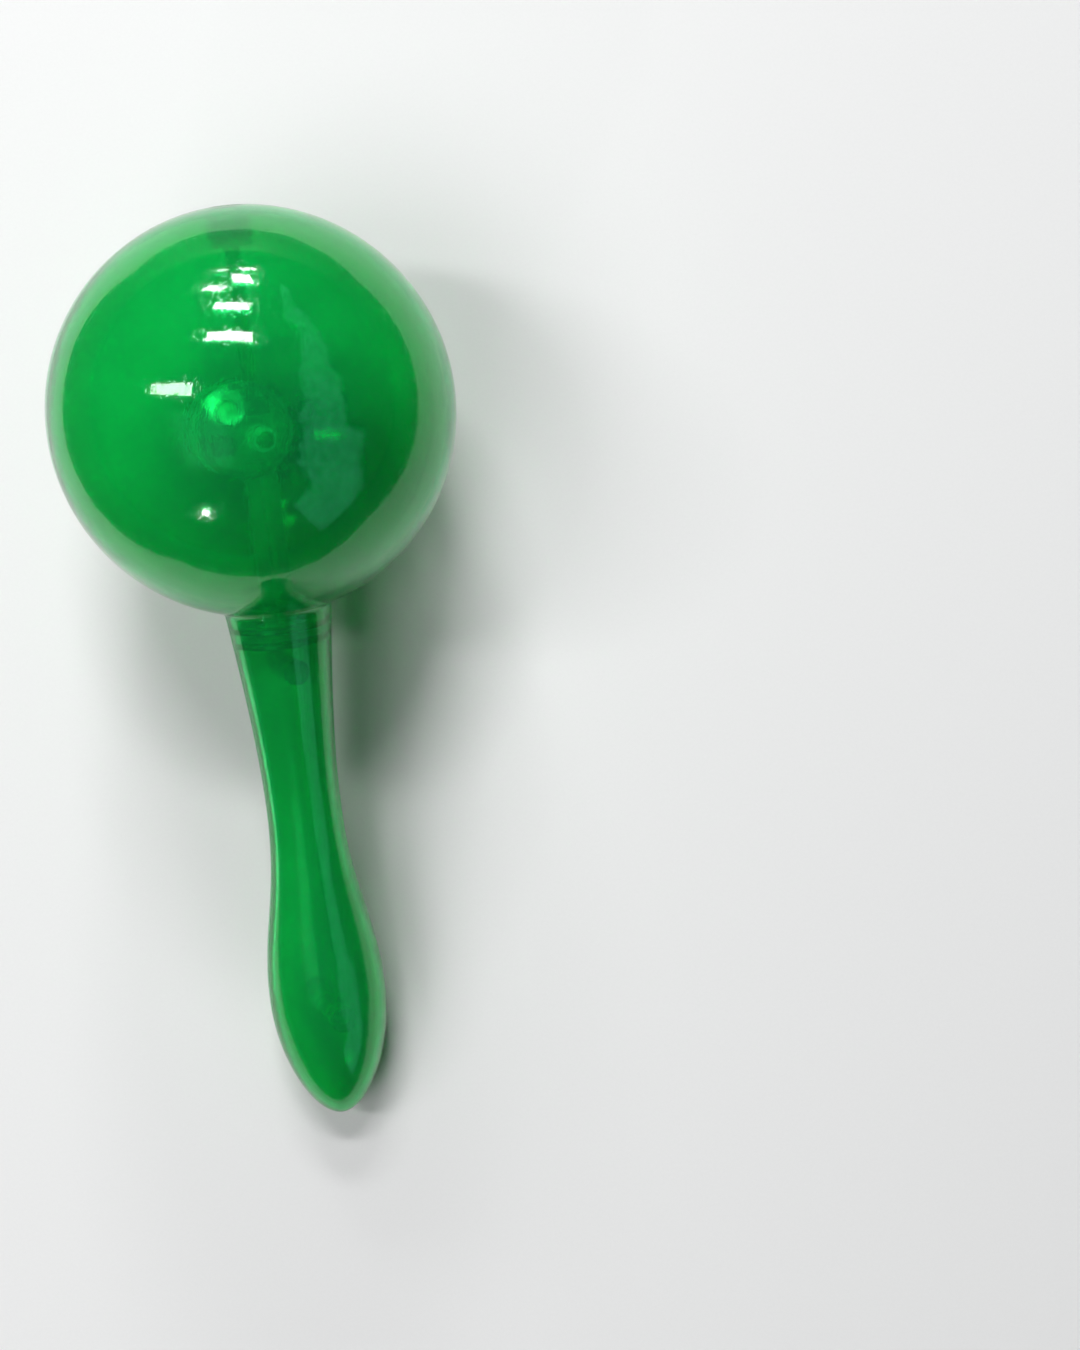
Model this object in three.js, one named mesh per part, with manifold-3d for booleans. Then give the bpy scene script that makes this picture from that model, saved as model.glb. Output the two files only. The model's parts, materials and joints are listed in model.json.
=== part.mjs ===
// Light-up maraca: a translucent ball and handle moulded in two halves, a light core on a post inside
// the ball, a push button at the pole and loose rattle beads.
// Millimetres, +Z up. The maraca lies on its ball and on the bulb of its handle, handle towards -Y.
// Every piece is shaped upright first, with the ball centre at the origin, the pole up and the front
// facing -Y. The core is shaped on its circuit board: x right, y up and z out of the board's front.

import * as THREE from 'three';
import { mergeVertices } from 'three/addons/utils/BufferGeometryUtils.js';
import Module from 'manifold-3d';

// Ball and handle, measured down the axis
const BALL_RADIUS = 43;
const NECK_BELOW_BALL = 1;
const NECK_RADIUS = 11.3;
const NECK_TAPER = 0.116;
const NECK_FILLET = 1.7;
const WAIST_RADIUS = 8.2;
const WAIST_BELOW_NECK = 42;
const BULB_RADIUS = 13;
const BULB_BELOW_WAIST = 43.8;
const TIP_BELOW_BULB = 28.7;
const TIP_FLAT_RADIUS = 6;
const WALL = 1.8;

// Shares of each stretch of the handle over which its outline leaves a station along the tangent there
const NECK_EASE = 0.38;
const WAIST_EASE_UP = 0.29;
const WAIST_EASE_DOWN = 0.475;
const BULB_EASE_UP = 0.37;
const BULB_EASE_DOWN = 0.51;

// Seam between the halves
const SEAM_GAP = 0.2;
const TONGUE_THICKNESS = 0.8;
const TONGUE_HEIGHT = 0.9;
const TONGUE_CLEARANCE = 0.2;

// Pegs and sockets that join the halves in the handle
const BOSS_RADIUS = 2.7;
const PEG_RADIUS = 1.15;
const PEG_TIP_RADIUS = 0.8;
const PEG_LENGTH = 4;
const UPPER_BOSS_BELOW_BALL = 11.7;
const LOWER_BOSS_ABOVE_TIP = 26;

// Push button at the pole
const BUTTON_RADIUS = 3.5;
const BUTTON_EDGE = 0.3;
const BUTTON_FLANGE = 0.9;
const BUTTON_FLANGE_THICKNESS = 1.2;
const ROD_RADIUS = 1.5;
const ROD_PLAY = 0.35;
const SLEEVE_WALL = 0.9;
const SLEEVE_LENGTH = 7;

// Light core: a round cup with a clear cover, a little to the left of the axis, under the ball centre.
// Its wall is moulded round the button cells.
const CORE_WALL = 1.2;
const CORE_SIDE = -2.8;
const CORE_HEIGHT = -3.3;
const CUP_RIM = 0.6;
const RIM_STEP = 1;
const RIM_CLEARANCE = 0.15;
const COVER_FRONT = 3.7;
const COVER_FACE = 1.2;
const COVER_BEVEL = 0.5;

// Post of the core, with its foot clamped in the neck
const POST_SPAN = 7;
const POST_RIB = 1.4;
const FOOT_THICKNESS = 1.5;
const FOOT_BELOW_BALL = 3.1;
const CLAMP_RIB = 1.2;
const CLAMP_RIB_DEPTH = 2.2;

// Circuit board and what stands on its front
const BOARD_THICKNESS = 1;
const LED_RADIUS = 2.5;
const LED_HEIGHT = 8.6;
const LED_FLANGE = 0.4;
const LED_FLANGE_HEIGHT = 1;
const UPPER_LED_TO_SWITCH = 0.6;
const LOWER_LED = { x: 3.6, y: -2.1 };
const CHIP = { width: 4.9, height: 3.9, depth: 1.5, turn: 213 };
const CHIP_LEGS_A_SIDE = 4;
const CHIP_LEG_PITCH = 1.27;
const CHIP_LEG_WIDTH = 0.4;
const CHIP_LEG_REACH = 0.6;
const CHIP_LEG_HEIGHT = 0.5;
const SWITCH_WIDTH = 6;
const SWITCH_HEIGHT = 3.5;
const SWITCH_DEPTH = 3.5;
const PLUNGER_RADIUS = 1;
const PLUNGER_IN_SWITCH = 1;
const PLUNGER_TRAVEL = 0.3;
const PLUNGER_BELOW_CUP_WALL = 0.2;

// Button cells, flat behind the board, and the contact strips that join them
const CELL_COUNT = 3;
const CELL_RADIUS = 3.95;
const CELL_THICKNESS = 3.6;
const CELL_CAP_INSET = 0.7;
const CELL_CAP_HEIGHT = 0.6;
const CONTACT_THICKNESS = 0.3;
const CONTACT_HALF_WIDTH = 1.8;
const CONTACT_TAIL = 1.3;
const STACK_GAP = 0.2;
const RISER_WIDTH = 1;
const RISER_FROM_LEDGE = 0.6;
const LEDGE_WIDTH = 1.5;
const LEDGE_REACH = 2;

// Rattle beads, at the lowest place inside the ball
const BEAD_RADIUS = 2.3;
const BEAD_GAP = 0.4;
const BEADS_IN_FIRST_RING = 6;
const BEADS_IN_SECOND_RING = 5;

// Clearance between moulded pieces that fit together or slide
const FIT = 0.3;

// Flats round the shells and the core, round middling pieces, and round small ones
const ROUND_STEPS = 44;
const MIDDLE_STEPS = 24;
const SMALL_STEPS = 16;

// The maraca lies rolled about its axis, its front turned a little to the right
const STEP_ANGLE = 2 * Math.PI / ROUND_STEPS;
const ROLL = 2.5 * STEP_ANGLE;

const SHELL_GREEN = new THREE.MeshStandardMaterial({
  color: 0x0a9c48, roughness: 0.08, metalness: 0, transparent: true, opacity: 0.75,
});
const BUTTON_GREEN = new THREE.MeshStandardMaterial({ color: 0x0a8a40, roughness: 0.12, metalness: 0 });
const CORE_PLASTIC = new THREE.MeshStandardMaterial({ color: 0xd9efe2, roughness: 0.25, metalness: 0 });
const COVER_PLASTIC = new THREE.MeshStandardMaterial({
  color: 0xe8f6ee, roughness: 0.06, metalness: 0, transparent: true, opacity: 0.35,
});
const LIT_LENS = new THREE.MeshStandardMaterial({
  color: 0xe8ffd8, roughness: 0.1, metalness: 0, emissive: 0x9dff6a,
});
const DARK_LENS = new THREE.MeshStandardMaterial({ color: 0xf2f6f2, roughness: 0.08, metalness: 0 });
const BOARD_GREEN = new THREE.MeshStandardMaterial({ color: 0x1c5a34, roughness: 0.45, metalness: 0 });
const BLACK_PLASTIC = new THREE.MeshStandardMaterial({ color: 0x151719, roughness: 0.4, metalness: 0 });
const STEEL = new THREE.MeshStandardMaterial({ color: 0xc4c6c4, roughness: 0.3, metalness: 1 });
const BRASS = new THREE.MeshStandardMaterial({ color: 0xc9a45c, roughness: 0.35, metalness: 1 });
const BEAD_PLASTIC = new THREE.MeshStandardMaterial({ color: 0x0f8f45, roughness: 0.3, metalness: 0 });

const wasm = await Module();
wasm.setup();

// A closed geometry becomes a solid that can be joined and cut
function solid(geometry) {
  const bare = geometry.clone();
  bare.deleteAttribute('normal');
  bare.deleteAttribute('uv');
  const merged = mergeVertices(bare, 1e-4);
  const corners = [];
  for (let i = 0; i < merged.index.count; i += 3) {
    const [a, b, c] = [0, 1, 2].map((k) => merged.index.getX(i + k));
    if (a !== b && b !== c && c !== a) corners.push(a, b, c);
  }
  return new wasm.Manifold(new wasm.Mesh({
    numProp: 3,
    vertProperties: new Float32Array(merged.attributes.position.array),
    triVerts: new Uint32Array(corners),
  }));
}

// A solid becomes a named, faceted mesh at its place
function piece(name, body, material, place = [0, 0, 0]) {
  const { vertProperties, triVerts } = body.getMesh();
  const shared = new THREE.BufferGeometry();
  shared.setAttribute('position', new THREE.BufferAttribute(new Float32Array(vertProperties), 3));
  shared.setIndex(new THREE.BufferAttribute(new Uint32Array(triVerts), 1));
  const faceted = shared.toNonIndexed();
  faceted.computeVertexNormals();
  const mesh = new THREE.Mesh(faceted, material);
  mesh.name = name;
  mesh.position.set(...place);
  return mesh;
}

const join = (first, ...others) => others.reduce((body, other) => body.add(other), first);
const cut = (first, ...others) => others.reduce((body, other) => body.subtract(other), first);

function box(low, high) {
  const size = high.map((value, i) => value - low[i]);
  const middle = high.map((value, i) => (value + low[i]) / 2);
  return solid(new THREE.BoxGeometry(...size).translate(...middle));
}

function barAlongY(x, z, from, to, radius, steps = SMALL_STEPS, farRadius = radius) {
  const bar = new THREE.CylinderGeometry(farRadius, radius, to - from, steps);
  return solid(bar.translate(x, (from + to) / 2, z));
}

function barAlongZ(x, y, from, to, radius, steps = SMALL_STEPS) {
  const bar = new THREE.CylinderGeometry(radius, radius, to - from, steps);
  return solid(bar.rotateX(Math.PI / 2).translate(x, y, (from + to) / 2));
}

// A piece turned about Z from the [radius, height] points of its profile, listed anticlockwise
function turned(points, steps = ROUND_STEPS) {
  const profile = points.map(([radius, height]) => new THREE.Vector2(Math.max(radius, 0), height));
  return solid(new THREE.LatheGeometry(profile, steps).rotateX(Math.PI / 2));
}

function ring(inner, outer, from, to) {
  return turned([[inner, from], [outer, from], [outer, to], [inner, to], [inner, from]]);
}

// All of space on one side of the seam, or a slab of it
const SPACE = 500;
const slab = (fromY, toY) => box([-SPACE, fromY, -SPACE], [SPACE, toY, SPACE]);

// The outline of the handle and ball is a list of places, each with its outward normal. Insetting every
// place along its normal gives the inside of the wall and the surfaces within it.
const NECK_Z = -BALL_RADIUS - NECK_BELOW_BALL;
const WAIST_Z = NECK_Z - WAIST_BELOW_NECK;
const BULB_Z = WAIST_Z - BULB_BELOW_WAIST;
const TIP_Z = BULB_Z - TIP_BELOW_BULB;
const NECK_SLOPE = Math.hypot(1, NECK_TAPER);

const mix = (a, b, t) => a.map((value, i) => value + (b[i] - value) * t);

// A Bezier stretch through four [radius, height] points, without its first place
function bezierPlaces(points, steps) {
  return Array.from({ length: steps }, (_, i) => {
    const t = (i + 1) / steps;
    const [a, b, c] = [0, 1, 2].map((k) => mix(points[k], points[k + 1], t));
    const [d, e] = [mix(a, b, t), mix(b, c, t)];
    const length = Math.hypot(e[0] - d[0], e[1] - d[1]);
    return { at: mix(d, e, t), normal: [(e[1] - d[1]) / length, (d[0] - e[0]) / length] };
  });
}

function arcPlaces(centre, radius, fromAngle, toAngle, steps, outward) {
  return Array.from({ length: steps + 1 }, (_, i) => {
    const angle = fromAngle + (toAngle - fromAngle) * i / steps;
    const [c, s] = [Math.cos(angle), Math.sin(angle)];
    return { at: [centre[0] + radius * c, centre[1] + radius * s], normal: [outward * c, outward * s] };
  });
}

// The fillet's centre lies its radius outside the ball and outside the straight taper of the neck
function filletCentre() {
  const taperAtCentre = NECK_RADIUS - NECK_TAPER * NECK_Z + NECK_FILLET * NECK_SLOPE;
  const reach = (BALL_RADIUS + NECK_FILLET) * NECK_SLOPE;
  const drop = NECK_TAPER * taperAtCentre + Math.sqrt(reach ** 2 - taperAtCentre ** 2);
  const z = -drop / NECK_SLOPE ** 2;
  return [taperAtCentre + NECK_TAPER * z, z];
}

function handlePlaces() {
  const tip = { at: [0, TIP_Z], normal: [0, -1] };
  const neckStart = NECK_EASE * WAIST_BELOW_NECK;
  return [
    tip,
    ...bezierPlaces([
      [0, TIP_Z],
      [TIP_FLAT_RADIUS, TIP_Z],
      [BULB_RADIUS, BULB_Z - BULB_EASE_DOWN * TIP_BELOW_BULB],
      [BULB_RADIUS, BULB_Z],
    ], 6),
    ...bezierPlaces([
      [BULB_RADIUS, BULB_Z],
      [BULB_RADIUS, BULB_Z + BULB_EASE_UP * BULB_BELOW_WAIST],
      [WAIST_RADIUS, WAIST_Z - WAIST_EASE_DOWN * BULB_BELOW_WAIST],
      [WAIST_RADIUS, WAIST_Z],
    ], 6),
    ...bezierPlaces([
      [WAIST_RADIUS, WAIST_Z],
      [WAIST_RADIUS, WAIST_Z + WAIST_EASE_UP * WAIST_BELOW_NECK],
      [NECK_RADIUS - NECK_TAPER * neckStart, NECK_Z - neckStart],
      [NECK_RADIUS, NECK_Z],
    ], 4),
  ];
}

function ballPlaces() {
  const centre = filletCentre();
  const taperAngle = Math.PI - Math.atan(NECK_TAPER);
  const ballAngle = Math.atan2(centre[1], centre[0]);
  const fillet = arcPlaces(centre, NECK_FILLET, taperAngle, ballAngle + Math.PI, 2, -1);
  const ball = arcPlaces([0, 0], BALL_RADIUS, ballAngle, Math.PI / 2, 16, 1);
  return [...fillet, ...ball.slice(1)];
}

const PLACES = [...handlePlaces(), ...ballPlaces()];

// The solid inside the outline, inset by a share of the wall
function skin(inset) {
  return turned(PLACES.map(({ at, normal }) => [at[0] - inset * normal[0], at[1] - inset * normal[1]]));
}

const outside = skin(0);
const middle = skin(WALL / 2);
const inside = skin(WALL);

// Bore of the neck at a height, for the foot of the core's post and the ribs that clamp it
const neckBore = (z) => NECK_RADIUS + NECK_TAPER * (z - NECK_Z) - WALL * NECK_SLOPE;
const FOOT_TOP = -BALL_RADIUS - FOOT_BELOW_BALL;
const FOOT_BOTTOM = FOOT_TOP - FOOT_THICKNESS;
const FOOT_RADIUS = neckBore(FOOT_BOTTOM) - FIT;

const BORE_RADIUS = BUTTON_RADIUS + FIT;
const SLEEVE_END = BALL_RADIUS - SLEEVE_LENGTH;
const BOSS_HEIGHTS = [-BALL_RADIUS - UPPER_BOSS_BELOW_BALL, TIP_Z + LOWER_BOSS_ABOVE_TIP];

// The wall with the two ribs round the neck and the button's guide sleeve, before it is split
function wallWithFittings() {
  const ribInner = FOOT_RADIUS - CLAMP_RIB_DEPTH;
  const upperRib = ring(ribInner, NECK_RADIUS, FOOT_TOP + FIT, FOOT_TOP + FIT + CLAMP_RIB);
  const lowerRib = ring(ribInner, NECK_RADIUS, FOOT_BOTTOM - FIT - CLAMP_RIB, FOOT_BOTTOM - FIT);
  const sleeve = ring(BORE_RADIUS, BORE_RADIUS + SLEEVE_WALL, SLEEVE_END, BALL_RADIUS);
  const fittings = join(upperRib, lowerRib, sleeve).intersect(middle);
  return cut(outside, inside).add(fittings);
}

const buttonBore = () => barAlongZ(0, 0, SLEEVE_END - FIT, BALL_RADIUS + FIT, BORE_RADIUS, ROUND_STEPS);

function bosses(side) {
  const bars = BOSS_HEIGHTS.map((z) => barAlongY(0, z, -BALL_RADIUS, BALL_RADIUS, BOSS_RADIUS, MIDDLE_STEPS));
  return join(...bars).intersect(middle).intersect(side);
}

// The tongue of the front half stands on the inner part of the wall and enters the rear half
function frontShell() {
  const side = slab(-SPACE, -SEAM_GAP / 2);
  const tongue = cut(skin(WALL - TONGUE_THICKNESS), inside).intersect(slab(-TONGUE_HEIGHT, TONGUE_HEIGHT));
  const sockets = BOSS_HEIGHTS.map((z) => barAlongY(0, z, -PEG_LENGTH - FIT, FIT, PEG_RADIUS + FIT));
  const half = join(wallWithFittings().intersect(side), tongue, bosses(side));
  return cut(half, buttonBore(), ...sockets);
}

function rearShell() {
  const side = slab(SEAM_GAP / 2, SPACE);
  const rebateOuter = skin(WALL - TONGUE_THICKNESS - TONGUE_CLEARANCE);
  const rebateInner = skin(WALL + TONGUE_CLEARANCE);
  const rebate = cut(rebateOuter, rebateInner).intersect(slab(0, TONGUE_HEIGHT + TONGUE_CLEARANCE));
  const pegs = BOSS_HEIGHTS.map((z) => (
    barAlongY(0, z, -PEG_LENGTH, SEAM_GAP + PEG_RADIUS, PEG_TIP_RADIUS, SMALL_STEPS, PEG_RADIUS)
  ));
  const half = cut(wallWithFittings().intersect(side), rebate, buttonBore());
  return join(half, bosses(side), ...pegs);
}

// Core: places that its pieces share, in its own frame
const AXIS_X = -CORE_SIDE;
const CELL_CIRCLE = (2 * CELL_RADIUS + FIT) / Math.sqrt(3);
const CAVITY_RADIUS = CELL_CIRCLE + CELL_RADIUS + FIT;
const CORE_RADIUS = CAVITY_RADIUS + CORE_WALL;
const BOARD_FRONT = -SWITCH_DEPTH / 2 - STACK_GAP;
const BOARD_BACK = BOARD_FRONT - BOARD_THICKNESS;
const BOARD_RADIUS = CAVITY_RADIUS - FIT;
const FRONT_CONTACT = BOARD_BACK - STACK_GAP - CONTACT_THICKNESS;
const CELL_BACK = FRONT_CONTACT - STACK_GAP - CELL_THICKNESS;
const REAR_CONTACT = CELL_BACK - STACK_GAP - CONTACT_THICKNESS;
const FLOOR_FRONT = REAR_CONTACT - STACK_GAP;
const FLOOR_BACK = FLOOR_FRONT - CORE_WALL;
const RIM_MIDDLE = (CAVITY_RADIUS + CORE_RADIUS) / 2;
const SWITCH_TOP = Math.sqrt(BOARD_RADIUS ** 2 - (AXIS_X + SWITCH_WIDTH / 2) ** 2);
const PLUNGER_TIP = Math.sqrt(CORE_RADIUS ** 2 - AXIS_X ** 2) - PLUNGER_BELOW_CUP_WALL;
const ROD_END = PLUNGER_TIP + CORE_HEIGHT + ROD_PLAY;

const polar = (radius, angle) => [radius * Math.cos(angle), radius * Math.sin(angle)];
const cellAngle = (i) => Math.PI / 2 + i * 2 * Math.PI / CELL_COUNT;
const cellPlace = (i) => polar(CELL_CIRCLE, cellAngle(i));
const onCircle = (x, radius) => ({ x, y: Math.sqrt(radius ** 2 - x ** 2) });
const UPPER_LED = onCircle(
  AXIS_X - SWITCH_WIDTH / 2 - UPPER_LED_TO_SWITCH - LED_RADIUS - LED_FLANGE,
  CAVITY_RADIUS - FIT - LED_RADIUS - LED_FLANGE,
);
const CHIP_CIRCLE = BOARD_RADIUS - Math.hypot(CHIP.width, CHIP.height + 2 * CHIP_LEG_REACH) / 2;
const rodPort = () => barAlongY(AXIS_X, 0, SWITCH_TOP, CORE_RADIUS + FIT, ROD_RADIUS + FIT);

// Three ledges between the cells carry the edge of the board
function ledge(i) {
  const inner = CAVITY_RADIUS - LEDGE_REACH;
  const outer = CAVITY_RADIUS + CORE_WALL / 2;
  const depth = BOARD_BACK - STACK_GAP - FLOOR_FRONT + CORE_WALL / 2;
  const bar = new THREE.BoxGeometry(outer - inner, LEDGE_WIDTH, depth);
  bar.translate((inner + outer) / 2, 0, BOARD_BACK - STACK_GAP - depth / 2);
  return solid(bar.rotateZ(cellAngle(i + 0.5)));
}

// Cup with a stepped rim, on a post of crossed ribs whose foot is a round flange
function coreCarrier() {
  const cup = turned([
    [0, FLOOR_BACK],
    [CORE_RADIUS, FLOOR_BACK],
    [CORE_RADIUS, CUP_RIM],
    [0, CUP_RIM],
  ]);
  const footTop = FOOT_TOP - CORE_HEIGHT;
  const postTop = -CAVITY_RADIUS + CORE_WALL + RIM_STEP;
  const [wide, thin] = [POST_SPAN / 2, POST_RIB / 2];
  const crossRib = box([AXIS_X - wide, footTop - thin, -thin], [AXIS_X + wide, postTop, thin]);
  const frontRib = box([AXIS_X - thin, footTop - thin, -wide], [AXIS_X + thin, postTop, wide]);
  const foot = barAlongY(AXIS_X, 0, footTop - FOOT_THICKNESS, footTop, FOOT_RADIUS, ROUND_STEPS);
  const cavity = barAlongZ(0, 0, FLOOR_FRONT, CUP_RIM + FIT, CAVITY_RADIUS, ROUND_STEPS);
  const rimStep = barAlongZ(0, 0, CUP_RIM - RIM_STEP, CUP_RIM + FIT, RIM_MIDDLE, ROUND_STEPS);
  const coverRoom = barAlongZ(0, 0, CUP_RIM, CORE_RADIUS, CORE_RADIUS + FIT, ROUND_STEPS);
  const blank = join(cup, crossRib, frontRib, foot);
  const ledges = Array.from({ length: CELL_COUNT }, (_, i) => ledge(i));
  return join(cut(blank, cavity, rimStep, coverRoom, rodPort()), ...ledges);
}

// Clear cover: a disc with a skirt that steps into the cup's rim, and a hole for each LED
function coreCover() {
  const faceBack = COVER_FRONT - COVER_FACE;
  const lipEnd = CUP_RIM - RIM_STEP + RIM_CLEARANCE;
  const lipRadius = RIM_MIDDLE - RIM_CLEARANCE;
  const skirtEnd = CUP_RIM + RIM_CLEARANCE;
  const blank = turned([
    [0, faceBack],
    [CAVITY_RADIUS, faceBack],
    [CAVITY_RADIUS, lipEnd],
    [lipRadius, lipEnd],
    [lipRadius, skirtEnd],
    [CORE_RADIUS, skirtEnd],
    [CORE_RADIUS, COVER_FRONT - COVER_BEVEL],
    [CORE_RADIUS - COVER_BEVEL, COVER_FRONT],
    [0, COVER_FRONT],
  ]);
  const holes = [UPPER_LED, LOWER_LED].map(({ x, y }) => (
    barAlongZ(x, y, faceBack - FIT, COVER_FRONT + FIT, LED_RADIUS + FIT, MIDDLE_STEPS)
  ));
  return cut(blank, rodPort(), ...holes);
}

const circuitBoard = () => barAlongZ(0, 0, BOARD_BACK, BOARD_FRONT, BOARD_RADIUS, ROUND_STEPS);

// LED: a flange with one flat side and a round lens that ends in a hemisphere
function led() {
  const shoulder = LED_HEIGHT - LED_RADIUS;
  const dome = [0, 1, 2, 3].map((i) => polar(LED_RADIUS, i * Math.PI / 6));
  const lens = turned([
    [0, 0],
    [LED_RADIUS + LED_FLANGE, 0],
    [LED_RADIUS + LED_FLANGE, LED_FLANGE_HEIGHT],
    [LED_RADIUS, LED_FLANGE_HEIGHT],
    ...dome.map(([radius, height]) => [radius, shoulder + height]),
  ], SMALL_STEPS);
  const flat = box([LED_RADIUS, -LED_RADIUS * 2, -FIT], [LED_RADIUS * 2, LED_RADIUS * 2, LED_HEIGHT]);
  return cut(lens, flat);
}

// Driver chip with its legs standing out along both long sides
function driverChip() {
  const base = BOARD_FRONT + STACK_GAP;
  const { width, height, depth, turn } = CHIP;
  const [x, y] = polar(CHIP_CIRCLE, turn * Math.PI / 180);
  const body = box([x - width / 2, y - height / 2, base], [x + width / 2, y + height / 2, base + depth]);
  const legs = Array.from({ length: CHIP_LEGS_A_SIDE }, (_, i) => {
    const centre = x + (i - (CHIP_LEGS_A_SIDE - 1) / 2) * CHIP_LEG_PITCH;
    const reach = height / 2 + CHIP_LEG_REACH;
    const half = CHIP_LEG_WIDTH / 2;
    return box([centre - half, y - reach, base], [centre + half, y + reach, base + CHIP_LEG_HEIGHT]);
  });
  return join(body, ...legs);
}

function switchBody() {
  const half = SWITCH_WIDTH / 2;
  const depth = SWITCH_DEPTH / 2;
  const pocketEnd = SWITCH_TOP - PLUNGER_IN_SWITCH - PLUNGER_TRAVEL - FIT;
  const body = box([AXIS_X - half, SWITCH_TOP - SWITCH_HEIGHT, -depth], [AXIS_X + half, SWITCH_TOP, depth]);
  return cut(body, barAlongY(AXIS_X, 0, pocketEnd, SWITCH_TOP + FIT, PLUNGER_RADIUS + FIT));
}

function switchPlunger() {
  return barAlongY(AXIS_X, 0, SWITCH_TOP - PLUNGER_IN_SWITCH, PLUNGER_TIP, PLUNGER_RADIUS);
}

// Button cell: a can with a smaller cap, which faces the cup's floor or, where turned over, the board
function buttonCell(i, turnedOver) {
  const half = CELL_THICKNESS / 2;
  const capRadius = CELL_RADIUS - CELL_CAP_INSET;
  const shoulder = -half + CELL_CAP_HEIGHT;
  const body = turned([
    [0, -half],
    [capRadius, -half],
    [capRadius, shoulder],
    [CELL_RADIUS, shoulder],
    [CELL_RADIUS, half],
    [0, half],
  ], MIDDLE_STEPS);
  const cell = piece(`button_cell_${i + 1}`, body, STEEL, [...cellPlace(i), CELL_BACK + half]);
  if (turnedOver) cell.rotation.x = Math.PI;
  return cell;
}

// Contact strip with round ends, from one place to another
function strip(from, to, back, halfWidth = CONTACT_HALF_WIDTH) {
  const [dx, dy] = [to[0] - from[0], to[1] - from[1]];
  const bar = new THREE.BoxGeometry(Math.hypot(dx, dy), 2 * halfWidth, CONTACT_THICKNESS);
  bar.rotateZ(Math.atan2(dy, dx));
  bar.translate((from[0] + to[0]) / 2, (from[1] + to[1]) / 2, back + CONTACT_THICKNESS / 2);
  const ends = [from, to].map(([x, y]) => barAlongZ(x, y, back, back + CONTACT_THICKNESS, halfWidth));
  return join(solid(bar), ...ends);
}

// The rear contact runs from the last cell into the gap beside a ledge, and up to the board
function rearContact() {
  const half = RISER_WIDTH / 2;
  const x = LEDGE_WIDTH / 2 + RISER_FROM_LEDGE + half;
  const y = -CAVITY_RADIUS + RISER_WIDTH;
  const arm = strip(cellPlace(2), [x, y], REAR_CONTACT, half);
  const pad = barAlongZ(...cellPlace(2), REAR_CONTACT, REAR_CONTACT + CONTACT_THICKNESS, CONTACT_HALF_WIDTH);
  const low = [x - half, y, REAR_CONTACT];
  const riser = box(low, [x + half, y + CONTACT_THICKNESS, BOARD_BACK - STACK_GAP]);
  return join(arm, pad, riser);
}

function frontContact() {
  const [x, y] = cellPlace(0);
  return strip([x, y], [x, y + CONTACT_TAIL], FRONT_CONTACT);
}

function core() {
  const group = new THREE.Group();
  const onBoard = ({ x, y }) => [x, y, BOARD_FRONT + STACK_GAP];
  group.add(
    piece('core_carrier', coreCarrier(), CORE_PLASTIC),
    piece('core_cover', coreCover(), COVER_PLASTIC),
    piece('circuit_board', circuitBoard(), BOARD_GREEN),
    piece('upper_led', led(), LIT_LENS, onBoard(UPPER_LED)),
    piece('lower_led', led(), DARK_LENS, onBoard(LOWER_LED)),
    piece('driver_chip', driverChip(), BLACK_PLASTIC),
    piece('switch_body', switchBody(), BLACK_PLASTIC),
    piece('switch_plunger', switchPlunger(), BLACK_PLASTIC),
    piece('cell_bridge_rear', strip(cellPlace(0), cellPlace(1), REAR_CONTACT), BRASS),
    piece('cell_bridge_front', strip(cellPlace(1), cellPlace(2), FRONT_CONTACT), BRASS),
    piece('cell_contact_rear', rearContact(), BRASS),
    piece('cell_contact_front', frontContact(), BRASS),
  );
  for (let i = 0; i < CELL_COUNT; i += 1) group.add(buttonCell(i, i % 2 === 1));
  group.rotation.x = Math.PI / 2;
  group.position.set(CORE_SIDE, 0, CORE_HEIGHT);
  return group;
}

// Button: its face carries on the curve of the ball, a flange under the sleeve keeps it in, and a long
// rod reaches down to the switch
function topButton() {
  const flangeTop = SLEEVE_END - FIT;
  const flangeRadius = BUTTON_RADIUS + BUTTON_FLANGE;
  const faceRadius = BUTTON_RADIUS - BUTTON_EDGE;
  const onBall = (radius) => [radius, Math.sqrt(BALL_RADIUS ** 2 - radius ** 2)];
  const sideTop = onBall(BUTTON_RADIUS)[1] - BUTTON_EDGE;
  return turned([
    [0, ROD_END],
    [ROD_RADIUS, ROD_END],
    [ROD_RADIUS, flangeTop - BUTTON_FLANGE_THICKNESS],
    [flangeRadius, flangeTop - BUTTON_FLANGE_THICKNESS],
    [flangeRadius, flangeTop],
    [BUTTON_RADIUS, flangeTop],
    [BUTTON_RADIUS, sideTop],
    onBall(faceRadius),
    onBall(faceRadius / 2),
    onBall(0),
  ], MIDDLE_STEPS);
}

// Beads lie in two rings about one bead, against the inside of the ball straight below its centre
function rattleBeads() {
  const reach = (BALL_RADIUS - WALL) * Math.cos(STEP_ANGLE / 2) ** 2 - FIT - BEAD_RADIUS;
  const ringAngle = 2 * Math.asin((2 * BEAD_RADIUS + BEAD_GAP) / 2 / reach);
  const places = [{ tilt: 0, turn: 0 }];
  for (let i = 0; i < BEADS_IN_FIRST_RING; i += 1) places.push({ tilt: ringAngle, turn: i * Math.PI / 3 });
  for (let i = 0; i < BEADS_IN_SECOND_RING; i += 1) {
    places.push({ tilt: ringAngle * Math.sqrt(3), turn: (i + 0.5) * Math.PI / 3 });
  }
  return places.map(({ tilt, turn }, i) => {
    const bead = new THREE.IcosahedronGeometry(BEAD_RADIUS, 1);
    const [x, y] = polar(reach * Math.sin(tilt), turn);
    const name = `rattle_bead_${String(i + 1).padStart(2, '0')}`;
    return piece(name, solid(bead.translate(x, y, -reach * Math.cos(tilt))), BEAD_PLASTIC);
  });
}

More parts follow.
